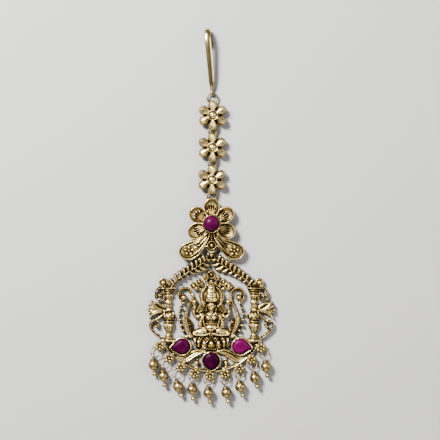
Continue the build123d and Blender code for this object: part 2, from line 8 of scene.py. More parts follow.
import bmesh
import bpy
import numpy as np
from mathutils import Matrix, Vector


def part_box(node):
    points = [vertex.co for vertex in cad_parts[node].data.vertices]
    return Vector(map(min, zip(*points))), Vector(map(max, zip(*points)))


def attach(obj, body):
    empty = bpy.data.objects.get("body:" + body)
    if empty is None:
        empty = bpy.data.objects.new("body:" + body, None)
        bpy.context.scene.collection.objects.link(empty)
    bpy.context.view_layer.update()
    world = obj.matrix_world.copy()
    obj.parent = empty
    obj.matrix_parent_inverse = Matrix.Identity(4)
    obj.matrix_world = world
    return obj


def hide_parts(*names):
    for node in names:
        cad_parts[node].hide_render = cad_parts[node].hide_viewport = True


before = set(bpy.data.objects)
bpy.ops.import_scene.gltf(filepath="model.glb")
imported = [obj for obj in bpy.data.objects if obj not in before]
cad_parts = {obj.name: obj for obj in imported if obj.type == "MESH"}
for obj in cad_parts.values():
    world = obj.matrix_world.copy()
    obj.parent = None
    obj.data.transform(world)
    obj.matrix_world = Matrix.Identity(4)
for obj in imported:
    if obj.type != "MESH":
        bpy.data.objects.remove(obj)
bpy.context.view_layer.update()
MM = 0.001
BOTH, MIDDLE = (1, -1), (1,)  # the sides of the middle line that a shape is put on
# what makes a point hollow: within how far, under how much, and how dark (the first two in mm)
HOLLOWS = ((0.22, 0.09, 0.75), (0.6, 0.4, 0.8))
SOFT = 0.65  # how far a point's height gives way to that of its neighbours


# ---- relief
def corners(grid):
    """What a grid holds at the four corners of each of its cells, anticlockwise."""
    return grid[:-1, :-1], grid[:-1, 1:], grid[1:, 1:], grid[1:, :-1]


class Relief:
    """A height map that is cut out where something stands on it and closed below."""

    def __init__(self, wide, y0, y1, step, base):
        self.step, self.base = step, base
        self.xs = np.arange(-wide, wide + step / 2, step)
        self.ys = np.arange(y0, y1 + step / 2, step)
        self.cover = np.full((len(self.ys), len(self.xs)), -9.0)
        self.z = np.full(self.cover.shape, float(base))
        self.patina_shade_and_sheen = np.zeros(self.cover.shape)

    def parts(self, shape, sides):
        """The cells round a shape on each side, with its cover and its height there."""
        (x0, y0, x1, y1), rule = shape
        for side in sides:
            lo, hi = sorted((x0 * side, x1 * side))
            j0, j1 = np.searchsorted(self.xs, (lo - self.step, hi + self.step))
            i0, i1 = np.searchsorted(self.ys, (y0 - self.step, y1 + self.step))
            x, y = np.meshgrid(self.xs[j0:j1], self.ys[i0:i1])
            yield np.s_[i0:i1, j0:j1], *rule(x * side, y)

    def put(self, shape, patina_shade_and_sheen=0.0, sides=BOTH):
        """Adds a shape and its mirror image in x. Its value above zero darkens its patina, in one
        place as painted shade; below zero it lightens it as a painted highlight.
        """
        for part, cover, z in self.parts(shape, sides):
            on_top = (cover > 0) & (z >= self.z[part])
            self.cover[part] = np.maximum(self.cover[part], cover)
            self.z[part] = np.where(on_top, z, self.z[part])
            self.patina_shade_and_sheen[part] = np.where(on_top, patina_shade_and_sheen, self.patina_shade_and_sheen[part])

    def mid(self, shape, patina_shade_and_sheen=0.0):
        """Adds a shape once, where it lies."""
        self.put(shape, patina_shade_and_sheen, MIDDLE)

    def cut(self, shape, depth, patina_shade_and_sheen=0.5, sides=BOTH):
        """Sinks a shape's own relief into what stands there, and darkens the groove."""
        for part, cover, z in self.parts(shape, sides):
            z = np.where(cover > 0, np.clip(z, 0, 1), 0)
            self.z[part] -= depth * z
            self.patina_shade_and_sheen[part] += patina_shade_and_sheen * z

    def build(self):
        """The closed mesh: top, walls and back, with a value on each point for its patina and
        painted light.
        """
        inside = self.cover > 0
        weight = inside.astype(float)
        soft = blur(self.z * weight, 1) / np.maximum(blur(weight, 1), 1e-6)
        z = np.where(inside, (1 - SOFT) * self.z + SOFT * soft, self.base)
        patina_and_light_level = 0.0
        for reach, depth, share in HOLLOWS:
            around = blur(z, round(reach / self.step))
            patina_and_light_level = patina_and_light_level + np.clip((around - z) / depth, 0, 1) * share
        patina_and_light_level = np.clip(patina_and_light_level + blur(self.patina_shade_and_sheen, 1), 0, 1)
        index = np.full(inside.shape, -1)
        index[inside] = np.arange(inside.sum())
        ii, jj = np.nonzero(inside)
        points = [(self.xs[j], self.ys[i], z[i, j]) for i, j in zip(ii, jj)]
        dark = list(patina_and_light_level[inside])
        quad = np.logical_and.reduce(corners(inside))
        some = np.logical_or.reduce(corners(inside)) & ~quad
        faces = np.stack([number[quad] for number in corners(index)], 1).tolist()
        whole = len(faces)
        crossings, rims = {}, []

        def crossing(a, b):
            key = (a, b) if a < b else (b, a)
            if key not in crossings:
                (i, j), (k, m) = (a, b) if inside[a] else (b, a)
                t = self.cover[i, j] / (self.cover[i, j] - self.cover[k, m])
                t = min(0.95, max(0.05, t))
                crossings[key] = len(points)
                points.append((self.xs[j] + (self.xs[m] - self.xs[j]) * t,
                               self.ys[i] + (self.ys[k] - self.ys[i]) * t, z[i, j]))
                dark.append(patina_and_light_level[i, j])
            return crossings[key]

        for i, j in zip(*np.nonzero(some)):
            cell = [(i, j), (i, j + 1), (i + 1, j + 1), (i + 1, j)]
            face, marks = [], []
            for a, b in zip(cell, cell[1:] + cell[:1]):
                if inside[a]:
                    face.append(index[a])
                    marks.append(False)
                if inside[a] != inside[b]:
                    face.append(crossing(a, b))
                    marks.append(bool(inside[a]))
            faces.append(face)
            rims += [(face[k], face[(k + 1) % len(face)]) for k in range(len(face)) if marks[k]]
        count = len(points)
        walls = [(q, p, p + count, q + count) for p, q in rims]
        under = [[v + count for v in reversed(face)]
                 for face in self.back(quad, some, index) + faces[whole:]]
        co = np.array(points)
        back = co.copy()
        back[:, 2] = self.base
        co = np.vstack([co, back])
        faces = [*faces, *walls, *under]
        live, number = np.unique(np.concatenate(faces), return_inverse=True)
        ends = np.cumsum([len(face) for face in faces])
        faces = [part.tolist() for part in np.split(number, ends[:-1])]
        mesh = bpy.data.meshes.new("tmp")
        mesh.from_pydata(co[live], [], faces)
        shade = mesh.attributes.new("patina_and_painted_light", "FLOAT", "POINT")
        shade.data.foreach_set("value", np.array(dark + [0.5] * count)[live])
        bm = bmesh.new()
        bm.from_mesh(mesh)
        bpy.data.meshes.remove(mesh)
        return bm

    def back(self, quad, some, index):
        """The flat back's faces: whole cells joined into square blocks, as large as they fit."""
        left, leaves = quad.copy(), []
        for k in (16, 8, 4, 2, 1):
            rows, cols = (n // k for n in left.shape)
            view = left[:rows * k, :cols * k]
            tile = view.reshape(rows, k, cols, k).all(axis=(1, 3))
            leaves += [(i * k, j * k, k) for i, j in zip(*np.nonzero(tile))]
            view &= ~np.kron(tile, np.ones((k, k), bool))
        corner = np.zeros(index.shape, bool)
        for i, j, k in leaves:
            corner[[i, i, i + k, i + k], [j, j + k, j, j + k]] = True
        for view in corners(corner):
            view |= some
        faces = []
        for i, j, k in leaves:
            loop = [(i, j + n) for n in range(k)] + [(i + n, j + k) for n in range(k)]
            loop += [(i + k, j + k - n) for n in range(k)] + [(i + k - n, j) for n in range(k)]
            faces.append([index[p] for p in loop if corner[p]])
        return faces


def blur(a, n):
    """A box blur over 2n + 1 cells each way, done twice."""
    for _ in range(2):
        for axis in (0, 1):
            pad = [(n + 1, n) if k == axis else (0, 0) for k in (0, 1)]
            total = np.cumsum(np.pad(a, pad, mode="edge"), axis=axis)
            size = a.shape[axis]
            a = (np.take(total, range(2 * n + 1, 2 * n + 1 + size), axis)
                 - np.take(total, range(0, size), axis)) / (2 * n + 1)
    return a


# ---- shapes: (box, rule)
def point(turn, radius=1.0, about=(0.0, 0.0)):
    """The point at an angle, in degrees, and a distance from another."""
    a = radians(turn)
    return (about[0] + radius * cos(a), about[1] + radius * sin(a))


def arch(t):
    """A half round over t from -1 to 1."""
    return np.sqrt(np.clip(1 - t * t, 0, 1))


def oval(cx, cy, a, b, low, top, lean=0.0, flat=0.5, rule=None):
    """A dome on an ellipse, or the height that rule(q) gives: q is 0 at its middle, 1 round it."""
    c, s = point(lean)
    reach = max(a, b)

    def at(x, y):
        u = ((x - cx) * c + (y - cy) * s) / a
        v = (-(x - cx) * s + (y - cy) * c) / b
        q = np.sqrt(u * u + v * v)
        z = rule(q) if rule else low + (top - low) * np.clip(1 - q * q, 0, 1) ** flat
        return (1 - q) * min(a, b), z

    return (cx - reach, cy - reach, cx + reach, cy + reach), at


def cup(cx, cy, a, b, low, rim, lean, edge, rise=0.15):
    """A hollow petal: a raised border edge wide round a floor that climbs outwards by rise."""
    def rule(q):
        away = (1 - q) * min(a, b)
        border = arch(2 * away / edge - 1)
        floor = low + rise * q * q
        return np.where(away < edge, np.maximum(low + (rim - low) * border, floor), floor)

    return oval(cx, cy, a, b, low, rim, lean, rule=rule)


def run_of(line):
    """How far along a line each of its points lies."""
    return np.concatenate([[0], np.cumsum(np.hypot(*np.diff(line, axis=0).T))])


def curve(points, per_span=8):
    """Points along a Catmull-Rom line."""
    p = [np.array(q, float) for q in points]
    p = [2 * p[0] - p[1], *p, 2 * p[-1] - p[-2]]
    out = []
    for k in range(1, len(p) - 2):
        for t in np.linspace(0, 1, per_span, endpoint=False):
            out.append(0.5 * ((2 * p[k]) + (p[k + 1] - p[k - 1]) * t
                              + (2 * p[k - 1] - 5 * p[k] + 4 * p[k + 1] - p[k + 2]) * t * t
                              + (3 * p[k] - p[k - 1] - 3 * p[k + 1] + p[k + 2]) * t ** 3))
    return np.array([*out, p[-2]])


def bar(x0, y0, x1, y1, *rest):
    """A straight stroke."""
    return stroke([(x0, y0), (x1, y1)], *rest)


def arcs(start, heading, radii):
    """Points along quarter arcs to the right that run on from each other, eight to an arc."""
    here, out = np.array(start, float), [start]
    for radius in radii:
        centre = here + np.array(point(heading - 90, radius))
        out += [np.array(point(heading + 90 - 90 * k / 8, radius, centre)) for k in range(1, 9)]
        heading -= 90
        here = out[-1]
    return np.array(out)


FLUTES = {"ribs": (5, 0.2), "folds": (3, 0.14)}  # how many grooves along a stroke, and how deep


def stroke(line, widths, low, top, look="round", pitch=0.8):
    """A band along a line: half widths spread along it, and a look for its cross-section."""
    line = np.asarray(line, float)
    run = run_of(line)
    widths = np.atleast_1d(widths)
    stops = np.linspace(0, run[-1], len(widths))
    reach = float(np.max(widths)) + 0.1

    def at(x, y):
        best, along, side = (np.full(x.shape, value) for value in (1e9, 0.0, 0.0))
        for k, (p, d) in enumerate(zip(line, np.diff(line, axis=0))):
            size = d @ d
            t = np.clip(((x - p[0]) * d[0] + (y - p[1]) * d[1]) / size, 0, 1)
            ex, ey = x - p[0] - t * d[0], y - p[1] - t * d[1]
            far = np.hypot(ex, ey)
            near = far < best
            best = np.where(near, far, best)
            along = np.where(near, run[k] + t * sqrt(size), along)
            side = np.where(near, np.sign(d[0] * ey - d[1] * ex), side)
        half = np.interp(along, stops, widths)
        u = np.clip(best / np.maximum(half, 1e-6), 0, 1)
        w = u * side
        f = arch(u)
        turn = along / pitch
        if look == "rope":
            f = f * (0.8 + 0.2 * np.cos(2 * pi * turn + 2.4 * w))
        elif look == "beads":
            f = f * (0.45 + 0.55 * np.abs(np.cos(pi * turn)))
        elif look in FLUTES:
            count, depth = FLUTES[look]
            f = np.sqrt(np.clip(1 - u ** 4, 0, 1)) * (1 - depth + depth * np.cos(count * pi * w))
        elif look == "double":
            f = arch((u - 0.58) / 0.42) * (u > 0.16)
        elif look == "flat":
            f = np.clip(1 - u ** 8, 0, 1)
        elif look == "comb":
            f = f * (0.55 + 0.45 * np.cos(2 * pi * turn - 2.0 * u))
        return half - best, low + (top - low) * f

    lo, hi = line.min(0) - reach, line.max(0) + reach
    return (lo[0], lo[1], hi[0], hi[1]), at


def lathe(cx, profile, low, deep=1.0, ribs=()):
    """A turned form lying half sunk: profile is (y, radius) from the top down, ribs are (number
    across, y low, y high, depth)."""
    ys, rs = np.array(profile)[::-1].T
    wide = rs.max()

    def at(x, y):
        r = np.interp(y, ys, rs)
        off = np.abs(x - cx)
        u = np.clip(off / r, 0, 1)
        z = low + deep * r * arch(u)
        for number, y0, y1, depth in ribs:
            live = (y > y0) & (y < y1)
            z = z - np.where(live, depth * (0.5 - 0.5 * np.cos(number * np.arcsin(u) * 2)), 0)
        return np.minimum(r - off, np.minimum(y - ys[0], ys[-1] - y)), z

    return (cx - wide, ys[0], cx + wide, ys[-1]), at


def plate(points, top):
    """A flat convex plate, its corners given anticlockwise."""
    p = np.array(points, float)

    def at(x, y):
        inner = np.full(x.shape, 9.0)
        for a, b in zip(p, np.roll(p, -1, 0)):
            d = (b - a) / np.hypot(*(b - a))
            inner = np.minimum(inner, d[0] * (y - a[1]) - d[1] * (x - a[0]))
        return inner, np.full(x.shape, top) - 0.12 * np.clip(1 - inner / 0.15, 0, 1)

    return (*p.min(0), *p.max(0)), at


def ring(cx, cy, r, w, low, top, look="round", pitch=0.6, span=(0, 360)):
    """A circular wire of radius r and half width w."""
    turns = np.radians(np.linspace(*span, 40))
    return stroke(np.stack([cx + r * np.cos(turns), cy + r * np.sin(turns)], 1), w, low, top,
                  look, pitch)


def hoop(cx, cy, a, b, lean, w, low, top):
    """An elliptical wire of half width w."""
    c, s = point(lean)
    turns = np.linspace(0, 2 * pi, 49)
    u, v = (a - w) * np.cos(turns), (b - w) * np.sin(turns)
    return stroke(np.stack([cx + u * c - v * s, cy + u * s + v * c], 1), w, low, top)


def pear_distance(x, y, centre, r1, tip, r2):
    """How far outside the hull of two circles a point is."""
    c, t = np.array(centre, float), np.array(tip, float)
    d = t - c
    size = np.hypot(*d)
    d = d / size
    along = (x - c[0]) * d[0] + (y - c[1]) * d[1]
    off = np.abs(-(x - c[0]) * d[1] + (y - c[1]) * d[0])
    slope = (r1 - r2) / size
    rise = sqrt(1 - slope * slope)
    flank = off * rise + along * slope - r1
    k = along * rise - off * slope
    return np.where(k < 0, np.hypot(off, along) - r1,
                    np.where(k > size * rise, np.hypot(off, along - size) - r2, flank))


def collet(shape, wall, seat, top):
    """A pear-shaped setting: a seat with a rounded wall round it."""
    reach = shape[1] + wall
    xs, ys = zip(shape[0], shape[2])

    def at(x, y):
        out = pear_distance(x, y, *shape)
        t = np.clip(out / wall, 0, 1)
        z = np.where(out < 0, seat, top - 0.75 + 0.75 * arch(2 * t - 1))
        return wall - out, z

    return (min(xs) - reach, min(ys) - reach, max(xs) + reach, max(ys) + reach), at


# ---- meshes
def patina_and_painted_light(bm):
    """The layer that says how dark each point is: patina in its hollows, with painted shade on its
    flanks and painted highlights mixed in.
    """
    return bm.verts.layers.float.get("patina_and_painted_light") or bm.verts.layers.float.new("patina_and_painted_light")


def torus(bm, centre, axis, major, minor, around=40, across=14, dark=0.1):
    """A ring of round wire."""
    layer = patina_and_painted_light(bm)
    turn = Vector(axis).to_track_quat("Z", "Y")
    rows = []
    for k in range(around):
        a = 2 * pi * k / around
        row = []
        for m in range(across):
            b = 2 * pi * m / across
            r = major + minor * cos(b)
            at = Vector((r * cos(a), r * sin(a), minor * sin(b)))
            v = bm.verts.new(Vector(centre) + turn @ at)
            v[layer] = dark
            row.append(v)
        rows.append(row)
    for k in range(around):
        for m in range(across):
            a, b = rows[k], rows[(k + 1) % around]
            bm.faces.new((a[m], b[m], b[(m + 1) % across], a[(m + 1) % across]))


def skin(bm, rows):
    """A closed solid from rows of points, bottom to top. A row of one point is a pole."""
    patina_and_painted_light(bm)
    made = [[bm.verts.new(p) for p in row] for row in rows]
    for low, high in zip(made, made[1:]):
        count = max(len(low), len(high))
        for k in range(count):
            n = (k + 1) % count
            face = [row[i % len(row)] for row, i in ((low, k), (low, n), (high, n), (high, k))]
            bm.faces.new(tuple(dict.fromkeys(face)))
    for cap in (made[0][::-1], made[-1]):
        if len(cap) > 1:
            bm.faces.new(cap)
    return made


def lathe_mesh(bm, profile, frame_at, around=40, dark=0.05, bend=None):
    """A closed turned solid: profile is (radius, height) from bottom to top."""
    rows, shades = [], []
    for r, h in profile:
        turns = [2 * pi * k / around for k in range(around if r > 1e-6 else 1)]
        row = [(Vector((r * cos(a), r * sin(a), h)), dark) for a in turns]
        if bend is not None:
            row = [bend(p, a) for (p, _), a in zip(row, turns)]
        rows.append([frame_at @ p for p, _ in row])
        shades += [shade for _, shade in row]
    layer = patina_and_painted_light(bm)
    for v, shade in zip(sum(skin(bm, rows), []), shades):
        v[layer] = shade


def merge(bm, other, shift, turn):
    """Copies one bmesh into another, turned about Z and shifted."""
    mesh = bpy.data.meshes.new("tmp")
    other.to_mesh(mesh)
    mesh.transform(Matrix.Translation(shift) @ Matrix.Rotation(radians(turn), 4, "Z"))
    bm.from_mesh(mesh)
    bpy.data.meshes.remove(mesh)


def new_object(name, data):
    """An object in the scene."""
    ob = bpy.data.objects.new(name, data)
    bpy.context.scene.collection.objects.link(ob)
    return ob


SHADE_FREE = 0.68  # a face that looks up more than this gets no painted shade


def piece(name, bm, origin, finish, nodes, sharp=38, flank_shade=1.0):
    """Turns a bmesh in millimetres into a piece, in place. finish is its slot and material; the
    slot is not used.
    """
    slot, material = finish
    mesh = bpy.data.meshes.new(name)
    bmesh.ops.recalc_face_normals(bm, faces=bm.faces)
    bm.normal_update()
    shade = patina_and_painted_light(bm)
    for v in bm.verts:  # painted shade: the flanks darken the more they turn from looking up, and faces that look up stay light
        v[shade] += flank_shade * max(0.0, SHADE_FREE - v.normal.z)
    bm.to_mesh(mesh)
    bm.free()
    mesh.transform(Matrix.Translation(Vector(origin)) @ Matrix.Scale(MM, 4))
    mesh.polygons.foreach_set("use_smooth", [True] * len(mesh.polygons))
    mesh.set_sharp_from_angle(angle=radians(sharp))
    mesh.materials.append(material)
    ob = new_object(name, mesh)
    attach(ob, "root")
    if nodes:
        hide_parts(*nodes)


# ---- materials
class Material:
    """A new material, its shader's constants, and short ways to add nodes to it."""

    def __init__(self, name, values):
        self.mat = bpy.data.materials.new(name)
        self.mat.use_nodes = True
        self.tree = self.mat.node_tree
        self.shader = self.tree.nodes["Principled BSDF"]
        self.feed(self.shader, values)

    def feed(self, node, inputs):
        """Sets inputs to constants, or links them to the outputs of other nodes."""
        for key, value in inputs.items():
            if isinstance(value, bpy.types.NodeSocket):
                self.tree.links.new(value, node.inputs[key])
            else:
                node.inputs[key].default_value = value

    def add(self, kind, output, inputs):
        node = self.tree.nodes.new("ShaderNode" + kind)
        self.feed(node, inputs)
        return node.outputs[output]

    def math(self, operation, *values):
        made = self.add("Math", 0, dict(enumerate(values)))
        made.node.operation = operation
        return made

    def ramp(self, fac, *stops):
        """Colours along fac: the first, the last, and any between."""
        colour = self.add("ValToRGB", "Color", {"Fac": fac})
        marks = colour.node.color_ramp.elements
        for k, (position, tone) in enumerate(stops):
            mark = marks[k] if k < 2 else marks.new(position)
            mark.position, mark.color = position, (*tone, 1)
        return colour


def gold(name, light, mid, dark, rough, grain_scale=900.0, bump=0.00002, tint=0.12):
    """Gold plate: lighter where the layer of patina and painted light is low, darker in the
    hollows (patina) and on the flanks (painted shade), fine grain.
    """
    m = Material(name, {"Metallic": 1.0, "IOR": 1.45})
    place = m.add("TexCoord", "Object", {})
    patina_and_light_level = m.add("Attribute", "Fac", {})
    patina_and_light_level.node.attribute_name = "patina_and_painted_light"
    grain = m.add("TexNoise", "Fac", {"Scale": grain_scale, "Detail": 4.0, "Vector": place})
    patch = m.add("TexNoise", "Fac", {"Scale": 260.0, "Detail": 3.0, "Vector": place})
    total = m.math("ADD", patina_and_light_level, m.math("MULTIPLY_ADD", patch, tint * 2, -tint))
    total.node.use_clamp = True
    rub = m.add("MapRange", "Result", {"To Min": rough[0], "To Max": rough[1],
                                       "Value": m.math("MULTIPLY_ADD", grain, 0.5, total)})
    relief = m.add("Bump", "Normal", {"Distance": bump, "Strength": 0.7, "Height": grain})
    m.feed(m.shader, {"Base Color": m.ramp(total, (0.0, light), (0.75, dark), (0.18, mid)),
                      "Roughness": rub, "Normal": relief})
    return m.mat


def ruby(name, painted_light_level):
    """Deep wine-red glass over foil, a little cloudy inside. Its level scales its colour as
    painted light: the four stones are lit and shaded copies of one ruby.
    """
    m = Material(name, {"Roughness": 0.28, "IOR": 1.55, "Specular IOR Level": 0.05})
    place = m.add("TexCoord", "Object", {})
    cells = m.add("TexVoronoi", "Color", {"Scale": 900.0, "Vector": place})
    patch = m.add("TexNoise", "Fac", {"Scale": 330.0, "Vector": place})
    depth = m.math("MULTIPLY_ADD", m.add("SeparateColor", "Red", {"Color": cells}), 0.14, patch)
    m.feed(m.shader, {"Base Color": m.ramp(depth, (0.35, (0.075 * painted_light_level, 0.0003, 0.036 * painted_light_level)),
                                           (0.95, (0.014 * painted_light_level, 0.0002, 0.007 * painted_light_level)))})
    return m.mat


# slot and material: gold takes its lightest, middle and deepest tones and its range of roughness
ANTIQUE = "antique_gold", gold("antique_gold", (0.9, 0.69, 0.29), (0.34, 0.245, 0.082),
                               (0.018, 0.01, 0.003), (0.23, 0.48))
SMOOTH = "polished_gold", gold("polished_gold", (0.9, 0.69, 0.28), (0.45, 0.32, 0.11),
                               (0.03, 0.016, 0.005), (0.16, 0.36), 500.0, 0.000008, 0.1)
CUT_GOLD = "bead_gold", gold("bead_gold", (0.88, 0.67, 0.28), (0.25, 0.175, 0.058),
                             (0.016, 0.009, 0.003), (0.24, 0.42))
wire = gold("wire_gold", (0.22, 0.15, 0.06), (0.14, 0.09, 0.035), (0.03, 0.016, 0.005),
            (0.34, 0.5), 500.0, 0.000008, 0.2)
# painted light: each stone is the same ruby made lighter or darker by its level
STONES = {key: ("ruby", ruby(f"ruby_{key}", painted_light_level)) for key, painted_light_level in
          (("left", 0.72), ("right", 1.7), ("bottom", 0.38), ("round", 0.75))}


# ---- where things are
def centre_of(box, top=None):
    """A box's centre on the floor, or the point top mm below its upper edge, in metres."""
    low, high = box
    y = (low.y + high.y) / 2 if top is None else high.y - top * MM
    return Vector(((low.x + high.x) / 2, y, 0.0))


PENDANT = centre_of(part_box("pendant"), 22.72)
BLOSSOM = centre_of(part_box("blossom"), 8.78)
# millimetres from here on
LINK_Z, LOOP, LOOP_WIRE = 1.1, 0.8, 0.26  # the cast loops: height of their axis, radius, wire
PEARS = {"left": ((-9.67, -9.75), 2.48, (-12.75, -10.22), 0.45),
         "right": ((9.67, -9.75), 2.48, (12.75, -10.22), 0.45),
         "bottom": ((0, -14.55), 2.66, (0, -16.75), 0.75)}
DROP_RADIUS, DROP_STEP, DROP_TURN = 19.68, 14.8, -1.2  # of the drop flowers on the border
RING_Z, RING_REACH = 0.8, 3.3  # the loops' axis, and how far a ring holds its bead's eye from it
BEAD, PIN = 1.8, 3.0  # a bead's radius, and how far its eye is from its middle
FACETS, SLANT, CUT_DEPTH = 6, 4.8, 0.042  # the bead's cuts: pairs round it, slope, depth
# each drop: where its loop sits below the flower, and which way its ring and bead point
DROPS = [
    (0.95, -36, 6), (0.65, -37.5, 8), (0.95, -28, 20), (-0.55, -27, 5),
    (-0.2, -20, 10), (0.1, -3, 12), (0, -9, 16), (0, 5, 16),
    (0.3, 20, 8)]


def loop(bm, y, radius=LOOP, wire_radius=LOOP_WIRE):
    """A cast loop that a chain ring passes through."""
    torus(bm, (0, y, LINK_Z), (1, 0, 0), radius, wire_radius)


# ---- pendant: frame
def sprays(r):
    """The two leafy stems of the roof."""
    stem = curve([(0.75, 20.7), (2.6, 18.1), (7.8, 14.8), (11.8, 12.1), (13.4, 9.6)])
    run = run_of(stem)

    def on_stem(s):
        return np.array([np.interp(s, run, axis) for axis in stem.T])

    # painted highlight: the leaves of both rows are lightened by their value of -0.25
    for k in range(9):
        s = 2.6 + 1.62 * k
        p, q = on_stem(s), on_stem(s + 0.2)
        along = degrees(atan2(*(q - p)[::-1]))
        size = 0.62 + 0.42 * sin(pi * min(1, (k + 1.2) / 8))
        root = point(along + 90, 0.2, p)
        tip = point(along + 112, 0.95 + size, p)
        middle = np.add(root, tip) / 2
        r.put(stroke([root, middle, tip], (0.3, 0.62, 0.74, 0.66), 0.6, 2.6), -0.25)
    for k in range(9):
        s = 1.6 + 1.75 * k
        p = on_stem(s)
        long, wide = ((1.3, 0.5), (2.3, 0.55), (3, 0.72), (2.3, 0.66), (1.6, 0.5), (1.3, 0.42),
                      (1.2, 0.4), (1.1, 0.38), (0.9, 0.36))[k]
        aim = 196 + 3.5 * k
        tip, bend = point(aim, long, p), point(aim + 14, long * 0.5, p)
        r.put(stroke(curve([p, bend, tip], 5), (0.25, wide * 1.15, wide * 1.1, 0.35), 0.6, 2.4),
              -0.25)
    r.put(stroke(stem, 0.36, 0.7, 2.3), 0.3)
    r.put(stroke(stem, 0.22, 0.7, 3), -0.9)
    r.mid(plate([(-1.5, 19.5), (1.5, 19.5), (1.2, 21.2), (-1.2, 21.2)], 1.25))
    r.mid(oval(0, 20.55, 0.85, 0.62, 1, 1.75))


PILLAR = [
    (9.77, 2.27), (9.35, 2.27), (9.25, 1.8), (9, 1.8), (8.9, 2), (8.55, 1.98), (8.45, 1.45),
    (8.2, 1.42), (8.05, 1.68), (7.75, 1.6), (7.6, 1.2), (7.35, 1.2), (7.2, 1.42), (6.9, 1.38),
    (6.3, 1.12), (5.7, 1), (5.55, 0.95), (5.4, 1.15), (4.35, 1.15), (4.2, 0.9), (3.5, 1),
    (2.95, 0.9), (2.8, 1.2), (1.85, 1.2), (1.7, 1), (1.45, 1.3), (1, 1.95), (0.5, 2.25),
    (0.1, 2.3), (-0.4, 2.2), (-0.85, 1.85), (-1.1, 1.5), (-1.3, 1.45), (-1.4, 1.8), (-1.8, 1.8),
    (-1.95, 1.5), (-2.2, 1.6), (-3.3, 1.8), (-3.9, 1.66), (-4.6, 1.25), (-5.2, 0.95), (-5.5, 0.78),
    (-5.7, 0.78), (-5.85, 1.1), (-6.1, 1.15), (-6.3, 1), (-6.9, 1.5), (-7.3, 1.72), (-7.4, 1.7),
    (-7.5, 2.2), (-8.35, 2.25)]
PILLAR_AXIS = PILLAR_X, PILLAR_Z = 14.2, 0.75  # x and height; points round it are (x, height)


def granules(r, y, reach, count, size):
    """A row of granules round a pillar."""
    for k in range(count):
        turn = 10 + 160 * k / (count - 1)
        x, z = point(turn, reach, PILLAR_AXIS)
        lean = sin(radians(turn))
        r.put(oval(x, y, size * max(0.45, lean), size, z - size * 0.5, z + size * 0.75), -0.2)


def pillars(r):
    r.put(lathe(PILLAR_X, PILLAR, PILLAR_Z, 1,
                ((7, 5.5, 7, 0.2), (6, 2.9, 4.2, 0.2), (6, -5.4, -3.4, 0.2),
                 (7, -7.35, -6.35, 0.2), (9, 7.6, 8.1, 0.12))), 0.12)
    for row in ((4.87, 1.1, 5, 0.42), (2.33, 1.15, 6, 0.38), (-2.75, 1.75, 7, 0.46),
                (-6, 1.1, 7, 0.22)):
        granules(r, *row)
    for turn in (18, 54, 90, 126, 162):  # bosses on the bulb, ringed
        x, z = point(turn, 2.15, PILLAR_AXIS)
        lean = max(0.5, sin(radians(turn)))
        r.cut(oval(x, 0.12, 0.66 * lean, 0.8, 0, 1, flat=0.25), 0.12, 0.45)
        r.put(oval(x, 0.12, 0.36 * lean, 0.45, z - 0.3, z + 0.22), -0.3)
    for turn in (36, 72, 108, 144):  # and leaves between them
        x, z = point(turn, 1.75, PILLAR_AXIS)
        r.put(stroke([(x, 1.35), (x + (x - PILLAR_X) * 0.3, 0.75)], (0.2, 0.12), z - 0.2, z + 0.4))
    for k in range(7):  # zigzag round the neck
        (p, z), (q, _) = (point(12 + 156 * n / 7, 1.42, PILLAR_AXIS) for n in (k, k + 1))
        y0, y1 = (7.25, 6.75) if k % 2 else (6.75, 7.25)
        r.put(bar(p, y0, q, y1, 0.13, z - 0.4, z + 0.1), -0.2)
    for y in (8.72, 7.9, -1.6, -4.95):
        r.cut(bar(PILLAR_X - 2.4, y, PILLAR_X + 2.4, y, 0.09, 0, 1), 0.08)
    r.put(plate([(11.9, -8.5), (16.5, -8.5), (16.5, -7.5), (11.9, -7.5)], 2.3))
    r.put(bar(12, 9.6, 16.4, 9.6, 0.26, 1.2, 3.15))


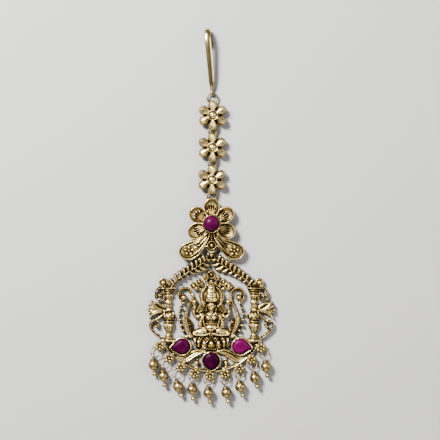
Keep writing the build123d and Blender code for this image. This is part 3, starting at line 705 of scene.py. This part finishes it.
def scrolls(r):
    """The outer scrolls, the shoulder curls and the side leaves."""
    r.put(plate([(12.6, 9.4), (17.3, 9.4), (16.9, 10.8), (14.2, 11.3), (13.1, 10.9)], 1.5))
    r.put(oval(16, 11.45, 0.92, 0.92, 1.2, 2.9))
    r.put(ring(16, 11.45, 1.25, 0.28, 0.7, 2.1, span=(-70, 215)))
    top = arcs((15.6, 10.35), 0, (3.1, 1.75, 1.35, 0.85, 0.6))
    r.put(stroke(top, (0.34, 0.34, 0.33, 0.3, 0.34), 0.6, 2.2, "double"))
    r.put(oval(*(top[-1] + np.array((0.25, 0.1))), 0.55, 0.55, 1, 2.4))
    low = curve([(15.6, -7.5), (17.8, -6.1), (19.5, -4.8), (20.4, -3.4), (20.45, -2.2),
                 (19.8, -1.5), (18.9, -1.3), (18, -1.75), (17.75, -2.6), (18.3, -3.3)])
    r.put(stroke(low, (0.36, 0.36, 0.34, 0.32, 0.3), 0.6, 2.15, "double"))
    r.put(oval(18.35, -3.15, 0.58, 0.58, 1, 2.5))
    for line, wide, height in (
            ([(14.9, 2), (17.2, 2.3), (18.9, 3.3), (20, 5.3)], (0.35, 0.9, 1.15, 0.2), 2.5),
            ([(14.9, 2), (17.4, 1.9), (19.3, 1.1), (20.6, -0.5)], (0.35, 0.7, 0.85, 0.2), 2.35),
            ([(15.8, 3), (17.3, 4.2), (18.9, 4.6)], (0.3, 0.55, 0.2), 2.1),
            ([(15.8, 0.9), (17.4, -0.3), (19, -1)], (0.3, 0.52, 0.2), 2),
            ([(18.2, 2.5), (19.7, 2.9), (21, 4)], (0.3, 0.62, 0.12), 2.45),
            ([(18.4, 1.9), (19.8, 1.8), (21, 1)], (0.3, 0.52, 0.12), 2.3),
            ([(16.1, 3.9), (16.3, 2), (16.1, 0.1)], (0.2, 0.5, 0.2), 1.7)):
        line = curve(line, 6)
        r.put(stroke(line, wide, 0.6, height), -0.12)
        r.cut(stroke(line[2:-2], 0.14, 0, 1), 0.22)
    r.put(bar(17.6, 2.2, 20.2, 2.2, 0.35, 0.6, 1.9))
    r.put(oval(20.85, 2.2, 0.52, 0.52, 0.8, 2.5), -0.2)
    r.put(oval(15.75, 1.95, 0.55, 0.6, 0.9, 2.5), -0.2)


def ferns(r):
    """The tall scrolls beside the figure, with the rows of granules outside them."""
    centre = (8.6, 7.45)
    head = [point(a, 2.42 - 0.0018 * (a + 40), centre) for a in range(186, -60, -12)]
    curl = [*head, (9.75, 5.55), (9.2, 6.3)]
    body = curve([(6.2, 7.3), (6.45, 5.9), (7.25, 4.1), (8.2, 2), (8.75, -0.6), (8.35, -3.1),
                  (7.4, -5.1), (6.7, -6.3)])
    r.put(stroke(curl, 0.36, 0.7, 2.2, "rope", 0.62))
    r.put(stroke([point(a, 1.72, centre) for a in range(170, -50, -10)], 0.34, 0.5, 1.75, "comb",
                 0.55))
    r.put(oval(9.2, 6.5, 1.15, 1, 1, 2.9, 20), -0.35)
    r.put(stroke(body, (0.36, 0.36, 0.4, 0.55, 0.72, 0.6, 0.4), 0.7, 2.1, "ribs"))
    r.put(stroke(body + np.array((0.18, 0)), (0.2, 0.2, 0.22, 0.24, 0.24, 0.2), 1.2, 2.4, "beads",
                 0.5))
    r.put(stroke(curve([(6.9, -5.6), (6.95, -3.6), (7.3, -1.5), (7.9, -0.2)], 6),
                 (0.4, 0.78, 0.8, 0.2), 0.6, 2.35, "comb", 0.62))
    arc = 10.05, (0.55, 0)  # the radius and the middle of the row of balls
    # painted shade: the thin strip that holds the balls is darkened
    r.put(stroke([point(a, *arc) for a in range(-44, 37, 4)], 0.17, 0.25, 0.7), 0.9)
    for k in range(-3, 3):
        r.put(oval(*point(5.5 + 11 * k, *arc), 0.6, 0.6, 1, 2.25), -0.6)
    r.put(plate([(6.3, -6.95), (8.5, -6.95), (8.5, -6.15), (6.3, -6.15)], 1.9))


def lower_border(r):
    """The border, the three settings, the long leaves and balls between them."""
    rim = [point(a, 18.07) for a in np.linspace(-152.5, -27.5, 64)]
    r.mid(stroke(rim, 0.38, 0.8, 2.2), -0.5)
    r.mid(stroke([point(a, 17.62) for a in np.linspace(-151, -29, 64)], 0.2, 0.6, 1.55, "rope",
                 0.6))
    leaf = curve([(2.2, -11.5), (4.6, -11.95), (6.6, -12.85), (8.6, -14.1), (11.9, -13.45)])
    r.put(stroke(leaf, (0.5, 1.05, 1.45, 1, 0.25), 0.6, 2.2, "folds"))
    r.put(stroke(curve([(2.6, -11.2), (5, -11.1), (6.9, -11.9), (9, -13.5)]),
                 (0.24, 0.34, 0.3, 0.2), 0.8, 2.45), -0.2)
    r.put(bar(4.8, -17.9, 4.8, -13, 0.25, 0.3, 1.2))
    r.put(oval(4.8, -15.25, 0.86, 0.86, 0.8, 2.3))
    r.put(ring(4.8, -15.25, 0.72, 0.18, 0.6, 1.4))
    r.mid(bar(0, -10, 0, -13, 0.6, 0.3, 1.2, "flat"))
    # painted highlight: the rims of the three settings are lightened
    for shape in PEARS.values():
        r.mid(collet(shape, 0.62, 1.45, 3.2), -0.9)


def pendant_frame():
    r = Relief(21.6, -19.2, 22.8, 0.115, 0)
    r.put(bar(14.2, 9.6, 14.2, -8.2, 0.95, 0.5, 1.2, "flat"))
    for ends in ((5.5, 4.5, 7.4, 4.5), (5.4, -5.6, 7.4, -6.5)):
        r.put(bar(*ends, 0.4, 0.3, 1.2, "flat"))
    sprays(r)
    pillars(r)
    scrolls(r)
    ferns(r)
    lower_border(r)
    bm = r.build()
    loop(bm, 21.77, 0.7, 0.25)
    piece("pendant_frame", bm, PENDANT, ANTIQUE, ["pendant"], flank_shade=1.4)


# ---- pendant: figure
CROWN = [
    (11.9, 0.3), (11.6, 0.62), (11.2, 0.66), (11.05, 0.5), (10.85, 0.9), (10.2, 1.2), (9.75, 1.42),
    (9.6, 1.25), (9.3, 1.45), (8.6, 1.72), (8.35, 1.82), (8.2, 1.6), (7.9, 1.8), (7.1, 1.95),
    (6.8, 2.02), (6.6, 1.82), (6.3, 1.95), (5.6, 2.02), (5.3, 1.98), (5.1, 1.7), (4.9, 1.5)]
LOTUS = [(-6.25, 6.6), (-6.6, 6.75), (-6.9, 6.45), (-8, 6.2), (-9, 5.7), (-10, 4.8),
         (-10.7, 3.9), (-11.1, 3)]


HALO_Y, SUN_Y = 6.83, 14.05  # the middle of the halo and of the little sun over it


def halo(r):
    r.mid(oval(0, HALO_Y, 4.15, 4.15, 1.35, 1.5, flat=0.2))
    r.mid(ring(0, HALO_Y, 3.98, 0.2, 1.2, 2))
    r.mid(ring(0, HALO_Y, 3.45, 0.13, 1.3, 1.68, "beads", 0.42))
    r.mid(oval(0, 6.6, 2.5, 3, 1.5, 2.15, flat=0.25))
    r.mid(ring(0, SUN_Y, 1.2, 0.3, 0.7, 2.2))
    r.mid(oval(0, SUN_Y, 1.2, 1.2, 0.9, 1.4, flat=0.2))
    r.mid(ring(0, SUN_Y, 0.72, 0.16, 1.2, 1.9, "beads", 0.4))
    r.mid(oval(0, SUN_Y, 0.5, 0.5, 1.4, 2.6))
    r.mid(bar(0, 13.2, 0, 9, 0.5, 0.6, 1.5, "flat"))
    for x, y, a, b, lean in ((2, 13, 1.15, 0.82, 62), (3.9, 11.6, 1.3, 1.05, 46),
                             (5.65, 10.3, 1.45, 1.2, 24)):
        r.put(stroke([(x, y), (x * 0.62, HALO_Y + (y - HALO_Y) * 0.62)], 0.5, 0.5, 1.3, "flat"))
        r.put(cup(x, y, a, b, 1.55, 1.9, lean, 0.36), -0.45)
        r.put(hoop(x, y, a, b, lean, 0.22, 1.4, 2.4), -0.6)
        r.put(oval(*point(lean, 0.2, (x, y)), a * 0.48, b * 0.46, 1.5, 2.15, lean), -0.4)


def head(r):
    r.mid(lathe(0, CROWN, 1.55, 0.9, ((9, 9.85, 10.7, 0.1), (11, 8.5, 9.2, 0.1),
                                      (13, 6.95, 7.8, 0.1), (9, 5.5, 6.2, 0.1))))
    r.mid(oval(0, 12.05, 0.55, 0.5, 1.6, 2.9), -0.2)
    for y, size, lift in ((10.4, 0.3, 2.75), (9, 0.36, 3), (7.5, 0.42, 3.3), (5.95, 0.5, 3.42)):
        r.mid(oval(0, y, size + 0.16, size + 0.2, lift - 0.3, lift), 0.5)
        r.mid(oval(0, y, size, size, lift - 0.1, lift + 0.25), -0.25)
    for y, wide in ((9.78, 1.36), (8.42, 1.76), (6.88, 1.96), (5.25, 1.95)):
        for k in range(11):
            c, s = point(8 + 164 * k / 10)
            z = 1.55 + 0.9 * wide * s
            r.mid(oval(wide * c, y, 0.17 * max(0.5, s), 0.2, z - 0.2, z + 0.14), -0.2)
    for k, line in enumerate((  # long locks and the veil beside the head
            [(1.3, 5), (2.3, 4), (3, 2.6), (3.9, 1.5)],
            [(1.7, 5.3), (2.9, 4.5), (3.9, 3), (4.7, 1.6)],
            [(1.3, 4.2), (1.8, 3.1), (2.4, 2.2), (2.9, 1.4)])):
        r.put(stroke(curve(line, 6), (0.4, 0.62, 0.6, 0.3), 1.1, 2.05 - 0.12 * k, "ribs"), 0.35)
    r.mid(oval(0, 3.75, 1.38, 1.72, 1.7, 3.3, flat=0.45))  # face
    r.mid(oval(0, 3.15, 0.98, 1.1, 2.4, 3.36))
    r.mid(bar(0, 4.2, 0, 3.52, (0.11, 0.24), 3.1, 3.62))  # nose
    r.put(oval(0.5, 4, 0.3, 0.15, 3.1, 3.38))  # eyelids
    r.put(stroke([(0.22, 4.36), (0.5, 4.46), (0.86, 4.33)], 0.07, 3.1, 3.38))  # brows
    r.cut(stroke([(0.24, 3.9), (0.5, 3.83), (0.78, 3.92)], 0.06, 0, 1), 0.08)
    r.mid(oval(0, 3.03, 0.36, 0.12, 3.1, 3.48))  # mouth
    r.mid(oval(0, 2.84, 0.26, 0.1, 3.1, 3.42))
    r.mid(oval(0, 2.45, 0.38, 0.3, 2.8, 3.28))
    r.mid(oval(0, 4.72, 0.13, 0.13, 3.2, 3.55))
    r.put(oval(1.5, 3.65, 0.26, 0.5, 1.8, 2.8))  # ears and their drops
    r.put(oval(1.62, 2.85, 0.36, 0.38, 1.8, 3), -0.2)
    r.put(oval(1.68, 2.2, 0.26, 0.32, 1.8, 2.75), -0.2)
    r.mid(bar(0, 2.3, 0, 1.2, 0.75, 1.8, 2.75))  # neck


def body(r):
    r.mid(oval(0, 0.85, 3, 1.05, 1.3, 2.75))  # shoulders
    r.mid(lathe(0, [(1.2, 2.2), (0.2, 2.05), (-1, 1.55), (-1.7, 1.32), (-2.4, 1.5), (-3.2, 2.2)],
                1.35, 0.8))
    r.put(oval(0.95, -0.25, 0.92, 0.85, 2.2, 3.35))
    for reach, y, look, lift in ((1, 1.75, "beads", 3), (1.5, 1.75, "rope", 3.15),
                                 (2.1, 1.7, "beads", 3.35)):  # necklaces
        line = [(reach * sin(a), y - reach * 0.95 * cos(a)) for a in np.linspace(-1.25, 1.25, 24)]
        r.mid(stroke(line, 0.17, lift - 0.5, lift, look, 0.34))
    r.mid(oval(0, -0.55, 0.3, 0.36, 2.9, 3.55))
    r.put(stroke(curve([(2.5, 1.2), (2.75, -0.6), (2.3, -2.5), (1.2, -3.9), (0, -4.35)]),
                 0.24, 2.3, 3.35, "rope", 0.42))  # garland
    r.mid(bar(-1.5, -2.25, 1.5, -2.25, 0.22, 2.2, 3, "beads", 0.4))
    raised = curve([(2.5, 1), (3.9, 0.35), (5.2, 0.15), (5.85, 1), (5.75, 2.4), (5.5, 3.7)])
    r.put(stroke(raised, (0.75, 0.72, 0.66, 0.6, 0.5, 0.42), 0.9, 2.5))  # raised arms
    for x, y, turn, half in ((4.15, 0.3, 12, 0.72), (5.8, 1.7, 92, 0.558), (5.62, 3.1, 92, 0.495)):
        ends = [point(turn + side, half, (x, y)) for side in (90, -90)]
        r.put(stroke(ends, 0.17, 1.7, 2.8, "beads", 0.34), -0.1)
    r.put(oval(5.5, 3.95, 0.55, 0.42, 1.2, 2.6))
    for lean, size in ((90, 0.95), (128, 0.8), (52, 0.8)):  # buds
        r.put(oval(*point(lean, 0.4, (5.6, 4.7)), size, 0.46, 1.1, 2.6, lean), -0.1)
    lower = curve([(2.55, 0.5), (3.35, -0.6), (3.7, -1.7)])
    r.put(stroke(lower, (0.72, 0.66, 0.55), 1.4, 3.1))  # lower arms
    r.put(bar(2.75, -0.2, 3.95, -0.55, 0.17, 2.4, 3.4, "beads", 0.34), -0.1)
    r.put(oval(3.72, -2.4, 0.82, 1.05, 1.6, 3.4, flat=0.35))
    r.cut(ring(3.72, -2.4, 0.42, 0.13, 0, 1), 0.18)
    for k in range(4):  # fingers
        r.put(bar(3.3 + 0.27 * k, -2.6, 3.35 + 0.24 * k, -3.6, (0.15, 0.12), 2.6, 3.5))
    r.put(bar(3.1, -1.5, 4.3, -1.55, 0.15, 2.6, 3.5, "beads", 0.32), -0.1)


def seat(r):
    r.mid(lathe(0, LOTUS, 0.3, 0.29), -0.15)
    r.mid(bar(-6.4, -5.5, 6.4, -5.5, 0.95, 0.3, 1.3, "flat"))
    r.put(oval(3.2, -4.75, 3.2, 1.15, 1.3, 3.1, -9))  # thighs
    r.put(oval(5.55, -5.35, 1.05, 0.85, 1.2, 2.9))
    shin = curve([(5.8, -5.75), (3.2, -6), (0.4, -5.6)])
    r.put(stroke(shin, (0.55, 0.62, 0.45), 1.3, 3))
    r.put(bar(0.7, -5.55, 1.9, -5.2, (0.32, 0.22), 2.4, 3.3))
    r.mid(oval(0, -3.35, 2.3, 0.95, 1.6, 3.15))  # lap
    for k in range(5):  # folds of the cloth
        out = 0.9 + 0.85 * k
        r.put(stroke(curve([(out * 0.55, -3.4), (out, -4.4), (out * 1.12, -5.6)], 6),
                     0.13, 2.3, 3.25 - 0.12 * k))
    for k in range(-1, 2):
        r.mid(bar(0.34 * k, -2.8, 0.5 * k, -6.2, (0.16, 0.24), 2.4, 3.35 - 0.1 * abs(k)))
    r.mid(bar(-6.5, -6.35, 6.5, -6.35, 0.28, 1.1, 2.35, "rope", 0.5))
    for k in range(7):  # lower and upper rows of lotus petals
        c, s = point(-75 + 25 * k)
        x, wide = 5.6 * s, 1.15 * max(0.5, c)
        y = -9 + 0.02 * x * x
        r.mid(oval(x, y, 1.5, wide * 1.04, 1.5, 2.35, 90, flat=0.3), -0.1)
        r.mid(oval(x, y + 0.05, 1.1, wide * 0.7, 1.9, 2.95, 90), -0.3)
    for k in range(6):
        c, s = point(-68 + 27.2 * k)
        x, wide = 5.9 * s, max(0.5, c)
        r.mid(stroke([(x - wide, -6.75), (x, -8.3), (x + wide, -6.75)], 0.22, 1.5, 2.85), -0.1)
        r.mid(oval(x, -7.15, wide * 0.55, 0.5, 1.5, 2.6), -0.1)
    for k in range(-4, 5):
        r.mid(oval(0.72 * k, -10.85 + 0.03 * k * k, 0.33, 0.33, 1, 2.1))


def pendant_figure():
    r = Relief(7.6, -11.6, 15.8, 0.085, 0)
    halo(r)
    body(r)
    seat(r)
    head(r)
    piece("pendant_figure", r.build(), PENDANT, ANTIQUE, [], flank_shade=1.4)


# ---- drop flowers and beads
def drop_flower(k):
    """How far a drop flower turns from straight down, and its centre."""
    turn = DROP_TURN + DROP_STEP * (k - 4)
    return turn, point(-90 + turn, DROP_RADIUS)


def drop_flowers():
    """The nine little flowers on the border, with the loops of their rings."""
    one = Relief(1.9, -1.9, 1.9, 0.07, 1.35)
    for turn in range(90, 450, 60):
        one.mid(oval(*point(turn, 1.12), 0.68, 0.58, 1.6, 2.25, turn, 0.4), 0.2)
    one.mid(oval(0, 0, 0.85, 0.85, 1.5, 1.9, flat=0.2), 0.8)
    one.mid(oval(0, 0, 0.46, 0.46, 1.8, 2.6), -0.1)
    flower = one.build()
    tab = Relief(0.6, -0.4, 2.4, 0.08, 1.35)
    tab.mid(bar(0, 0.2, 0, 1.9, 0.36, 1.5, 1.85, "flat"))
    stalk = tab.build()
    bm = bmesh.new()
    patina_and_painted_light(bm)
    for k, (seat_at, ring_turn, _) in enumerate(DROPS):
        turn, (x, y) = drop_flower(k)
        merge(bm, flower, (x, y, 0), turn)
        merge(bm, stalk, (x, y, 0), turn)
        at = point(-90 + ring_turn, seat_at, (x, y))
        torus(bm, (*at, RING_Z), (*point(ring_turn), 0), 0.58, 0.17, 28, 10, 0.3)
    flower.free()
    stalk.free()
    piece("drop_flowers", bm, PENDANT, ANTIQUE, [])


def bead(k):
    """A diamond-cut ball with its cap, head pin, tip ball and eye."""
    seat_at, ring_turn, bead_turn = DROPS[k]
    top = point(-90 + ring_turn, seat_at, drop_flower(k)[1])
    eye = point(-90 + ring_turn, sqrt(RING_REACH ** 2 - (BEAD - RING_Z) ** 2), top)
    x, y = point(-90 + bead_turn, PIN, eye)
    up, down = Vector((0, 0, 1)), Vector((*point(-90 + bead_turn), 0))
    lie = Matrix((up, down.cross(up), down)).transposed().to_4x4()
    lie = Matrix.Translation((x, y, BEAD)) @ lie

    def cut(p, a):
        lat = asin(max(-1, min(1, p.z / BEAD)))
        u, v = FACETS * a + SLANT * lat, FACETS * a - SLANT * lat
        ridge = abs(sin(u)) * abs(sin(v))
        notch = cos(lat) ** 0.6
        scale = 1 - CUT_DEPTH * (1 - ridge ** 0.6) * notch
        return (Vector((p.x * scale, p.y * scale, p.z * (0.4 * scale + 0.6))),
                0.5 * (1 - ridge ** 0.5) * notch)

    bm = bmesh.new()
    ball = [(BEAD * cos(t), BEAD * sin(t)) for t in np.linspace(-pi / 2, pi / 2, 65)]
    ball[0], ball[-1] = (0, -BEAD), (0, BEAD)
    lathe_mesh(bm, ball, lie, 120, bend=cut)
    cap = [(0, -2.5), (0.2, -2.5), (0.23, -2.2), (0.42, -2.12), (0.9, -2.1), (0.98, -1.98),
           (0.94, -1.82), (1.05, -1.66), (0.9, -1.5), (0, -1.45)]
    lathe_mesh(bm, cap, lie, 28, 0.25)
    pin = [(0, 1.6), (0.62, 1.62), (0.66, 1.76), (0.36, 1.9), (0.3, 2.1), (0.34, 2.3),
           *[(0.8 * sin(t), PIN - 0.8 * cos(t)) for t in np.linspace(0.5, pi, 15)]]
    pin[-1] = (0, PIN + 0.8)
    lathe_mesh(bm, pin, lie, 28, 0.1)
    torus(bm, (*eye, BEAD), (*point((ring_turn + bead_turn) / 2), 0), 0.55, 0.17, 28, 10, 0.1)
    piece(f"bead_{k + 1}", bm, PENDANT, CUT_GOLD, [f"drop_bead_{k + 1}"], 30, 0.4)


# ---- chain flowers and blossom
def chain_flower(number):
    r = Relief(5.3, -5.3, 5.3, 0.085, 1.6)
    r.mid(oval(0, 0, 3, 3, 1.8, 2.1, flat=0.2), 0.2)
    for turn in range(90, 450, 60):
        line = [point(turn, out) for out in (1.7, 2.4, 3.2, 3.75)]
        r.mid(oval(*point(turn, 3.42), 1.66, 1.58, 1.8, 2.3, turn, 0.3), 0.3)
        r.mid(stroke(line, (0.8, 1.18, 1.55, 1.3), 1.9, 3.4), 0.06)
        vein = bar(*point(turn, 1.9), *point(turn, 4.1), (0.14, 0.3, 0.34, 0.2), 2.9, 3.55)
        r.mid(vein, -0.1)
    r.mid(ring(0, 0, 1.55, 0.32, 2.4, 3.4), -0.1)
    r.mid(oval(0, 0, 1.2, 1.2, 3.05, 3.95, flat=0.6), -0.25)
    bm = r.build()
    for y in (4.05, -4.05):
        loop(bm, y)
    at = centre_of(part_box(f"chain_flower_{number}"))
    piece(f"flower_{number}", bm, at, ANTIQUE, [f"chain_flower_{number}"])


PAISLEY = [
    (1, -2.6), (3.6, -4.9), (7, -6), (9.7, -7.2), (10.75, -9.2), (9.6, -11.2), (7.4, -11.7),
    (5, -10.7), (2.6, -7.7), (1.2, -5)]


def blossom():
    r = Relief(11.3, -12.2, 8.8, 0.1, 1.6)
    r.put(stroke(curve([(0.9, -3.2), (2.4, -5), (4.6, -7), (6.6, -8.4)]),
                 (0.9, 1.1, 1.5, 2.3, 2.5), 1.9, 2.2, "flat"), -0.15)
    r.put(oval(7.75, -8.95, 2.9, 2.6, 2.1, 2.4, -38, flat=0.35), -0.25)
    r.put(stroke(curve(PAISLEY), 0.29, 2, 3.1), -0.25)
    for line, height in (([(1.7, -3.6), (4.4, -5.9), (7.2, -6.95), (9, -8)], 2.75),
                         ([(1.7, -4.4), (3.9, -6.8), (5.6, -8)], 2.85),
                         ([(1.5, -5), (3.3, -7.8), (5.3, -9.7), (7, -10.9)], 2.75)):
        r.put(stroke(curve(line), (0.3, 0.34, 0.26, 0.12), 2, height))
    eye = 7.6, -8.95
    for turn in range(18, 378, 72):
        r.put(oval(*point(turn, 1.15, eye), 0.66, 0.6, 2.1, 3.15, turn), -0.2)
    r.put(oval(*eye, 0.5, 0.5, 2.2, 3.4), -0.2)
    # painted highlights: the petals' cups, rims and raised veins are lightened
    for turn in (-25, 205, 33, 147, 90):
        x, y = point(turn, 5.35)
        r.mid(cup(x, y, 3.25, 2.75, 1.8, 2.6, turn, 0.35, rise=0.5), -0.75)
        r.mid(oval(*point(turn, 3.7), 1.6, 1.95, 1.9, 2.5, turn), -0.5)
        for k in range(-2, 3):
            r.cut(stroke([point(turn + 8 * k, 3.3), point(turn + 8 * k, 6.4 - 0.4 * abs(k))],
                         (0.1, 0.16), 0, 1), 0.05, 0.25, MIDDLE)
        for k in (-1.5, -0.5, 0.5, 1.5):
            r.mid(stroke([point(turn + 8 * k, 3.3), point(turn + 8 * k, 6.6 - 0.5 * abs(k))],
                         (0.24, 0.17), 1.9, 2.95), -0.9)
        r.mid(hoop(x, y, 3.27, 2.77, turn, 0.31, 2.2, 3.3), -0.7)
    for turn in (4, 61, 119, 176):
        r.mid(oval(*point(turn, 4.1), 0.95, 0.5, 2, 2.75, turn), -0.6)
    r.mid(bar(0, -2.4, 0, -7.8, (1.1, 1.5, 1.9), 1.8, 2.2, "flat"))
    r.put(stroke(curve([(0.7, -2.9), (1.1, -5), (1.9, -6.6)]), 0.22, 2, 2.9))
    r.mid(ring(0, -7.1, 1.35, 0.25, 1.9, 2.95))
    r.mid(ring(0, -7.1, 0.95, 0.14, 1.9, 2.5, "beads", 0.4))
    r.mid(oval(0, -7.1, 0.75, 0.75, 2.2, 3.7))
    r.put(oval(1.75, -7.5, 0.5, 0.42, 1.9, 2.8, -20))
    for k in range(3):
        r.mid(oval(0, -3.7 - 0.72 * k, 0.32, 0.3, 2, 2.85))

    inner, outer, rim = 2.6, 3.1, 3.2  # the round setting: its wall's radii and its rim's height

    def setting(x, y):
        d = np.hypot(x, y)
        t = np.clip((d - inner) / (outer - inner), 0, 1)
        return outer - d, np.where(d < inner, 1.72, rim + 0.65 * arch(2 * t - 1))

    # painted highlight: the setting's rim is lightened all round
    r.mid(((-3.2, -3.2, 3.2, 3.2), setting), -1)
    bm = r.build()
    for y in (7.72, -6.6):
        loop(bm, y)
    piece("blossom_cast", bm, BLOSSOM, ANTIQUE, ["blossom"])


# ---- hook
def hook():
    """A rounded strip: a long front leg, the bend over the hair, a short end turned aside."""
    low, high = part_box("hook_ring")
    at = Vector(((low.x + high.x) / 2 - 0.18 * MM, (low.y + high.y) / 2 + 1.8 * MM, 0))
    path = np.array([(0.8, 1), (1.9, 1.55), *curve(
        [(3.2, 2), (9.5, 3.2), (15, 4.02), (17.3, 4.15), (19.2, 3.85), (20.6, 3.05),
         (21.1, 2.1), (20.75, 1.2), (19.6, 0.7), (17.4, 0.66), (15.3, 0.66)], 6)])
    run = run_of(path)
    wide = np.interp(run, (0, 0.8, 1.8, 3, 6.9, 13.6, 17, 19, 21.4, 24, 27.4, 28.2),
                     (0.5, 0.56, 0.8, 0.93, 1, 1.04, 1.1, 1.05, 0.88, 0.9, 0.75, 0.4))
    aside = np.interp(run, (0, 4, 9, 17, 21, 24, 28.2), (0.1, 0.2, 0.15, 0, 0.1, 0.5, 0.95))
    rows = []
    for k, (y, z) in enumerate(path):
        d = path[min(k + 1, len(path) - 1)] - path[max(k - 1, 0)]
        d = d / np.hypot(*d)
        row = []
        for m in range(28):
            a = 2 * pi * m / 28
            c, h = cos(a), sin(a)
            across = wide[k] * copysign(abs(c) ** 0.9, c)
            up = 0.415 * copysign(abs(h) ** 0.95, h)
            row.append((aside[k] + across, y - up * d[1], z + up * d[0]))
        rows.append(row)
    bm = bmesh.new()
    skin(bm, rows)
    shade = patina_and_painted_light(bm)
    for v in bm.verts:  # painted shadow: the short end, lying under the long one, is darkened towards the floor
        if v.co.y > 14:
            v[shade] = 0.8 * min(1, max(0, (2.6 - v.co.z) / 1.2))
    loop(bm, 0)
    bmesh.ops.transform(bm, matrix=Matrix.Rotation(radians(4.3), 4, "Z"), verts=bm.verts)
    piece("hook", bm, at, SMOOTH, ["hair_hook"], 60)


# ---- stones
def outline(shape, grow, count):
    """Points round the hull of two circles, from their shared axis."""
    c, t = Vector(shape[0]), Vector(shape[2])
    d = t - c
    r1, r2 = shape[1] + grow, max(0.03, shape[3] + grow)
    base = atan2(d.y, d.x)
    split = acos(max(-1, min(1, (r1 - r2) / d.length)))
    big = round(count * 0.72)  # most of the points go to the larger circle
    small = count - big - 1
    places = [(c, r1, base + split + (2 * pi - 2 * split) * k / big) for k in range(big + 1)]
    places += [(t, r2, base - split + 2 * split * (k + 0.5) / small) for k in range(small)]
    return [(o.x + r * cos(a), o.y + r * sin(a)) for o, r, a in places]


def pear_stone(side):
    """A cut pear: a flat table, a ring of crown facets and a straight girdle."""
    bm = bmesh.new()
    skin(bm, [[(x, y, height) for x, y in outline(PEARS[side], grow, 18)]
              for height, grow in ((1.5, -0.03), (2.5, -0.03), (2.95, -0.35), (3.3, -0.95))])
    piece(f"stone_{side}", bm, PENDANT, STONES[side], [f"pear_stone_{side}"], 8)


def round_stone():
    """A smooth round cabochon."""
    bm = bmesh.new()
    profile = [(0, 1.75), (2.5, 1.75), (2.56, 1.9), (2.56, 3.45)]
    profile += [(2.56 * cos(t), 3.45 + 1.5 * sin(t)) for t in np.linspace(0.08, pi / 2, 16)]
    profile[-1] = (0, 4.95)
    lathe_mesh(bm, profile, Matrix.Identity(4), 64)
    piece("cabochon", bm, BLOSSOM, STONES["round"], ["blossom_stone"], 50)


for make in (hook, pendant_frame, pendant_figure, drop_flowers, blossom, round_stone):
    make()
for number in (1, 2, 3):
    chain_flower(number)
for side in PEARS:
    pear_stone(side)
for number in range(len(DROPS)):
    bead(number)
for node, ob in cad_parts.items():
    if "ring" in node:
        if not ob.material_slots:
            ob.data.materials.append(wire)
        for slot in ob.material_slots:
            slot.material = wire


# ---- floor, light, camera
def floor():
    bm = bmesh.new()
    bmesh.ops.create_grid(bm, x_segments=8, y_segments=8, size=1.5)
    mesh = bpy.data.meshes.new("floor")
    bm.to_mesh(mesh)
    bm.free()
    mesh.materials.append(Material("floor",
                                   {"Base Color": (0.42, 0.41, 0.4, 1), "Roughness": 0.85}).mat)
    ob = new_object("floor", mesh)
    ob.location.z = -0.05 * MM  # clear of the flat backs that lie on it


def lamp(name, at, size, power):
    """A white square lamp that looks at the middle of the floor."""
    data = bpy.data.lights.new(name, "AREA")
    data.size, data.energy = size, power
    ob = new_object(name, data)
    ob.location = at
    ob.rotation_euler = (-Vector(at)).to_track_quat("-Z", "Y").to_euler()


floor()
lamp("key", (-0.26, 0.3, 0.42), 0.16, 15)
lamp("fill", (0.45, 0.1, 0.4), 0.4, 2)
lamp("low", (0, -0.5, 0.35), 0.4, 1.6)
world = bpy.data.worlds.new("studio")
world.use_nodes = True
sky = world.node_tree.nodes["Background"].inputs
sky["Color"].default_value = (0.9, 0.92, 1.0, 1)
sky["Strength"].default_value = 0.08
bpy.context.scene.world = world

FIELD, FOCUS_Z = 0.14667, 0.0015  # the width in view, and the height at which it is that wide
LENS, SENSOR = 85, 36
camera = bpy.data.cameras.new("camera")
camera.lens, camera.sensor_width = LENS, SENSOR
eye = new_object("camera", camera)
eye.location = (0.0029, -0.0013, FIELD * LENS / SENSOR + FOCUS_Z)
bpy.context.scene.camera = eye
